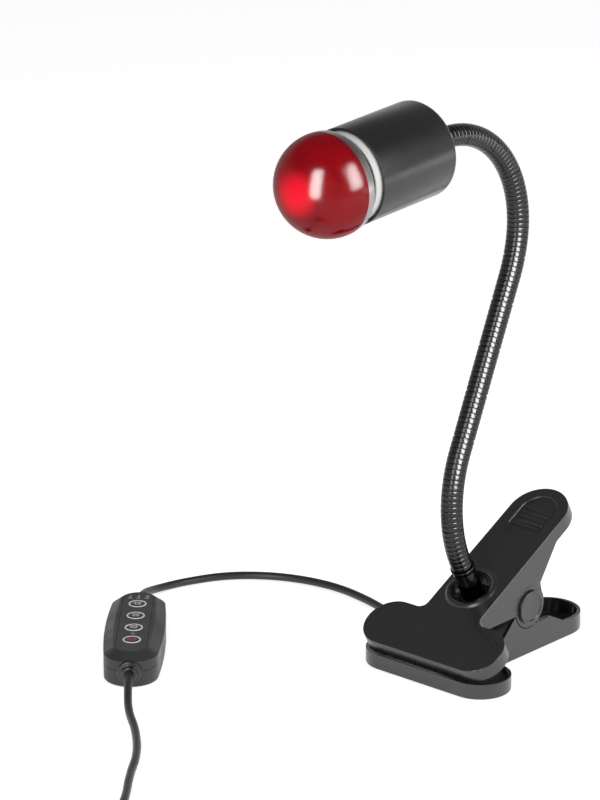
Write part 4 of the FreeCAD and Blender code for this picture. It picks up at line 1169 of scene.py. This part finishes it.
for (x, y), word in zip(WINDOWS, ("4", "8", "12")):
    text = bpy.data.curves.new("number", "FONT")
    text.body = word
    text.size = 2.5
    text.align_x = "CENTER"
    text.align_y = "CENTER"
    text.extrude = 0.03
    number = bpy.data.objects.new("number", text)
    mesh = bpy.data.meshes.new_from_object(number)
    bpy.data.objects.remove(number)
    above = Matrix.Translation((x * MM, (y + 3.1) * MM, case_top * MM))
    mesh.transform(timer_place @ above @ Matrix.Scale(MM, 4))
    piece = shown("number_" + word, mesh)
    dress(piece, print_white, "clip_base")
    timer_pieces.append(piece)
timer_pieces += [ring_piece, window_piece]
print("windows:", len(WINDOWS))

# %% Collars on the timer's ends
# Each end of the case holds a glossy stepped collar, through which the lead passes.
glands = []
for side, word in ((1, "lamp"), (-1, "plug")):
    along = timer_place.to_3x3() @ Vector((0, side, 0))
    middle = timer_place @ Vector((0, 0, 0.010))
    gland = turned(
        f"gland_{word}_side",
        [
            (2.5, 44.8, 0), (5.3, 44.8, 0.3), (5.3, 46.35, 0), (4.6, 46.35, 0), (4.6, 50.6, 0),
            (7.2, 50.6, 0), (7.2, 56.2, 0.9), (4.75, 56.2, 0.5), (4.75, 59.6, 0.7),
            (2.5, 59.6, 0.2),
        ],
        aimed(middle, along),
    )
    dress(gland, gloss_plastic, "clip_base")
    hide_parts(f"cord_gland_{word}_side")
    glands.append(gland)
timer_pieces.append(glands[0])
print("collars:", [gland.name for gland in glands])

# %% [markdown]
# ## Ends of the lead
# A tapered sleeve with grooves cut round it lets the lead bend where it leaves the clip. At the
# far end is a flat two-pin plug. The slack inside the clip is a plain mesh of the lead, made
# once from its curve and left fixed in place.

# %% Strain relief
relief_place = aimed(Vector((0, 0.0454, 0.0084)), Vector((-1, 0, 0)))
relief_outline = [
    (2.5, 16.9, 0), (5.4, 16.9, 0.4), (5.4, 18.35, 0), (3.95, 18.35, 0), (3.95, 20.65, 0),
    (5.0, 20.65, 0), (5.0, 22.1, 0.5),
]
groove = 22.9
while groove < 42.0:
    radius = 4.2 - (groove - 22.1) * 0.05
    relief_outline += [(radius, groove, 0.2), (radius - 0.9, groove + 0.15, 0.1)]
    relief_outline += [(radius - 0.9, groove + 0.95, 0.1), (radius - 0.04, groove + 1.1, 0.2)]
    groove += 2.7
relief_outline += [(3.1, 44.1, 0.3), (2.5, 44.1, 0)]
relief = turned("strain_relief", relief_outline, relief_place)
dress(relief, gloss_plastic, "clip_base")
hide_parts("cord_relief")
print("strain relief:", len(relief_outline), "corners in its outline")

# %% Plug
plug = copied("plug_body", "plug_shell")
dress(plug, gloss_plastic, "clip_base")
pins = copied("plug_pins", "plug_contacts")
dress(pins, plug_nickel, "clip_base")
print("plug:", plug.name, pins.name)

# %% Slack lead inside the clip
slack_route = [
    (0, 0.0388, 0.0314), (0, 0.0429, 0.0184), (-0.0042, 0.0449, 0.0121),
    (-0.0113, 0.0454, 0.0084), (-0.0440, 0.0454, 0.0084),
]
slack_curve = lead_along("slack", slack_route)
bpy.context.view_layer.update()
slack_mesh = bpy.data.meshes.new_from_object(slack_curve)
bpy.data.objects.remove(slack_curve)
slack = shown("slack_lead", slack_mesh, 60)
slack.data.materials.clear()
slack.data.materials.append(cord_sheath)
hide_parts("inner_lead")
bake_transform(slack)
print("slack lead:", len(slack_mesh.vertices), "points")

# %% Tie
# One turn of thin strip holds the winding together.
tie_angle = math.radians(80)
tie_out = Vector((math.cos(tie_angle), math.sin(tie_angle), 0))
tie_middle = coil_centre + tie_out * 0.0275 + Vector((0, 0, 0.0052))
tie_bm = bmesh.new()
tie_corners = [(-8.0, -5.0), (8.0, -5.0), (8.0, 5.4), (-8.0, 5.4)]
tie_ring = rounded([(x, y, 2.4) for x, y in tie_corners])
loops = []
for thick in (0, 0.7):
    for along in (-1.7, 1.7):
        grow = 1 + thick / 8
        loops.append([tie_bm.verts.new((x * grow, along, y * (1 + thick / 5.2))) for x, y in tie_ring])
count = len(tie_ring)
for a, b in ((0, 1), (1, 3), (3, 2), (2, 0)):
    for i in range(count):
        j = (i + 1) % count
        tie_bm.faces.new((loops[a][i], loops[a][j], loops[b][j], loops[b][i]))
tie_place = Matrix.Translation(tie_middle) @ Matrix.Rotation(tie_angle, 4, "Z")
tie = in_room(tie_bm, "lead_tie", tie_place)
dress(tie, pad_rubber, "clip_base")
print("tie:", len(tie.data.polygons), "faces")

# %% [markdown]
# ## What the lead is
# The two lengths of lead, shown by name.

print("leads declared:", lamp_lead.name, plug_lead.name)

# %% View
scene.view_settings.view_transform = "Standard"
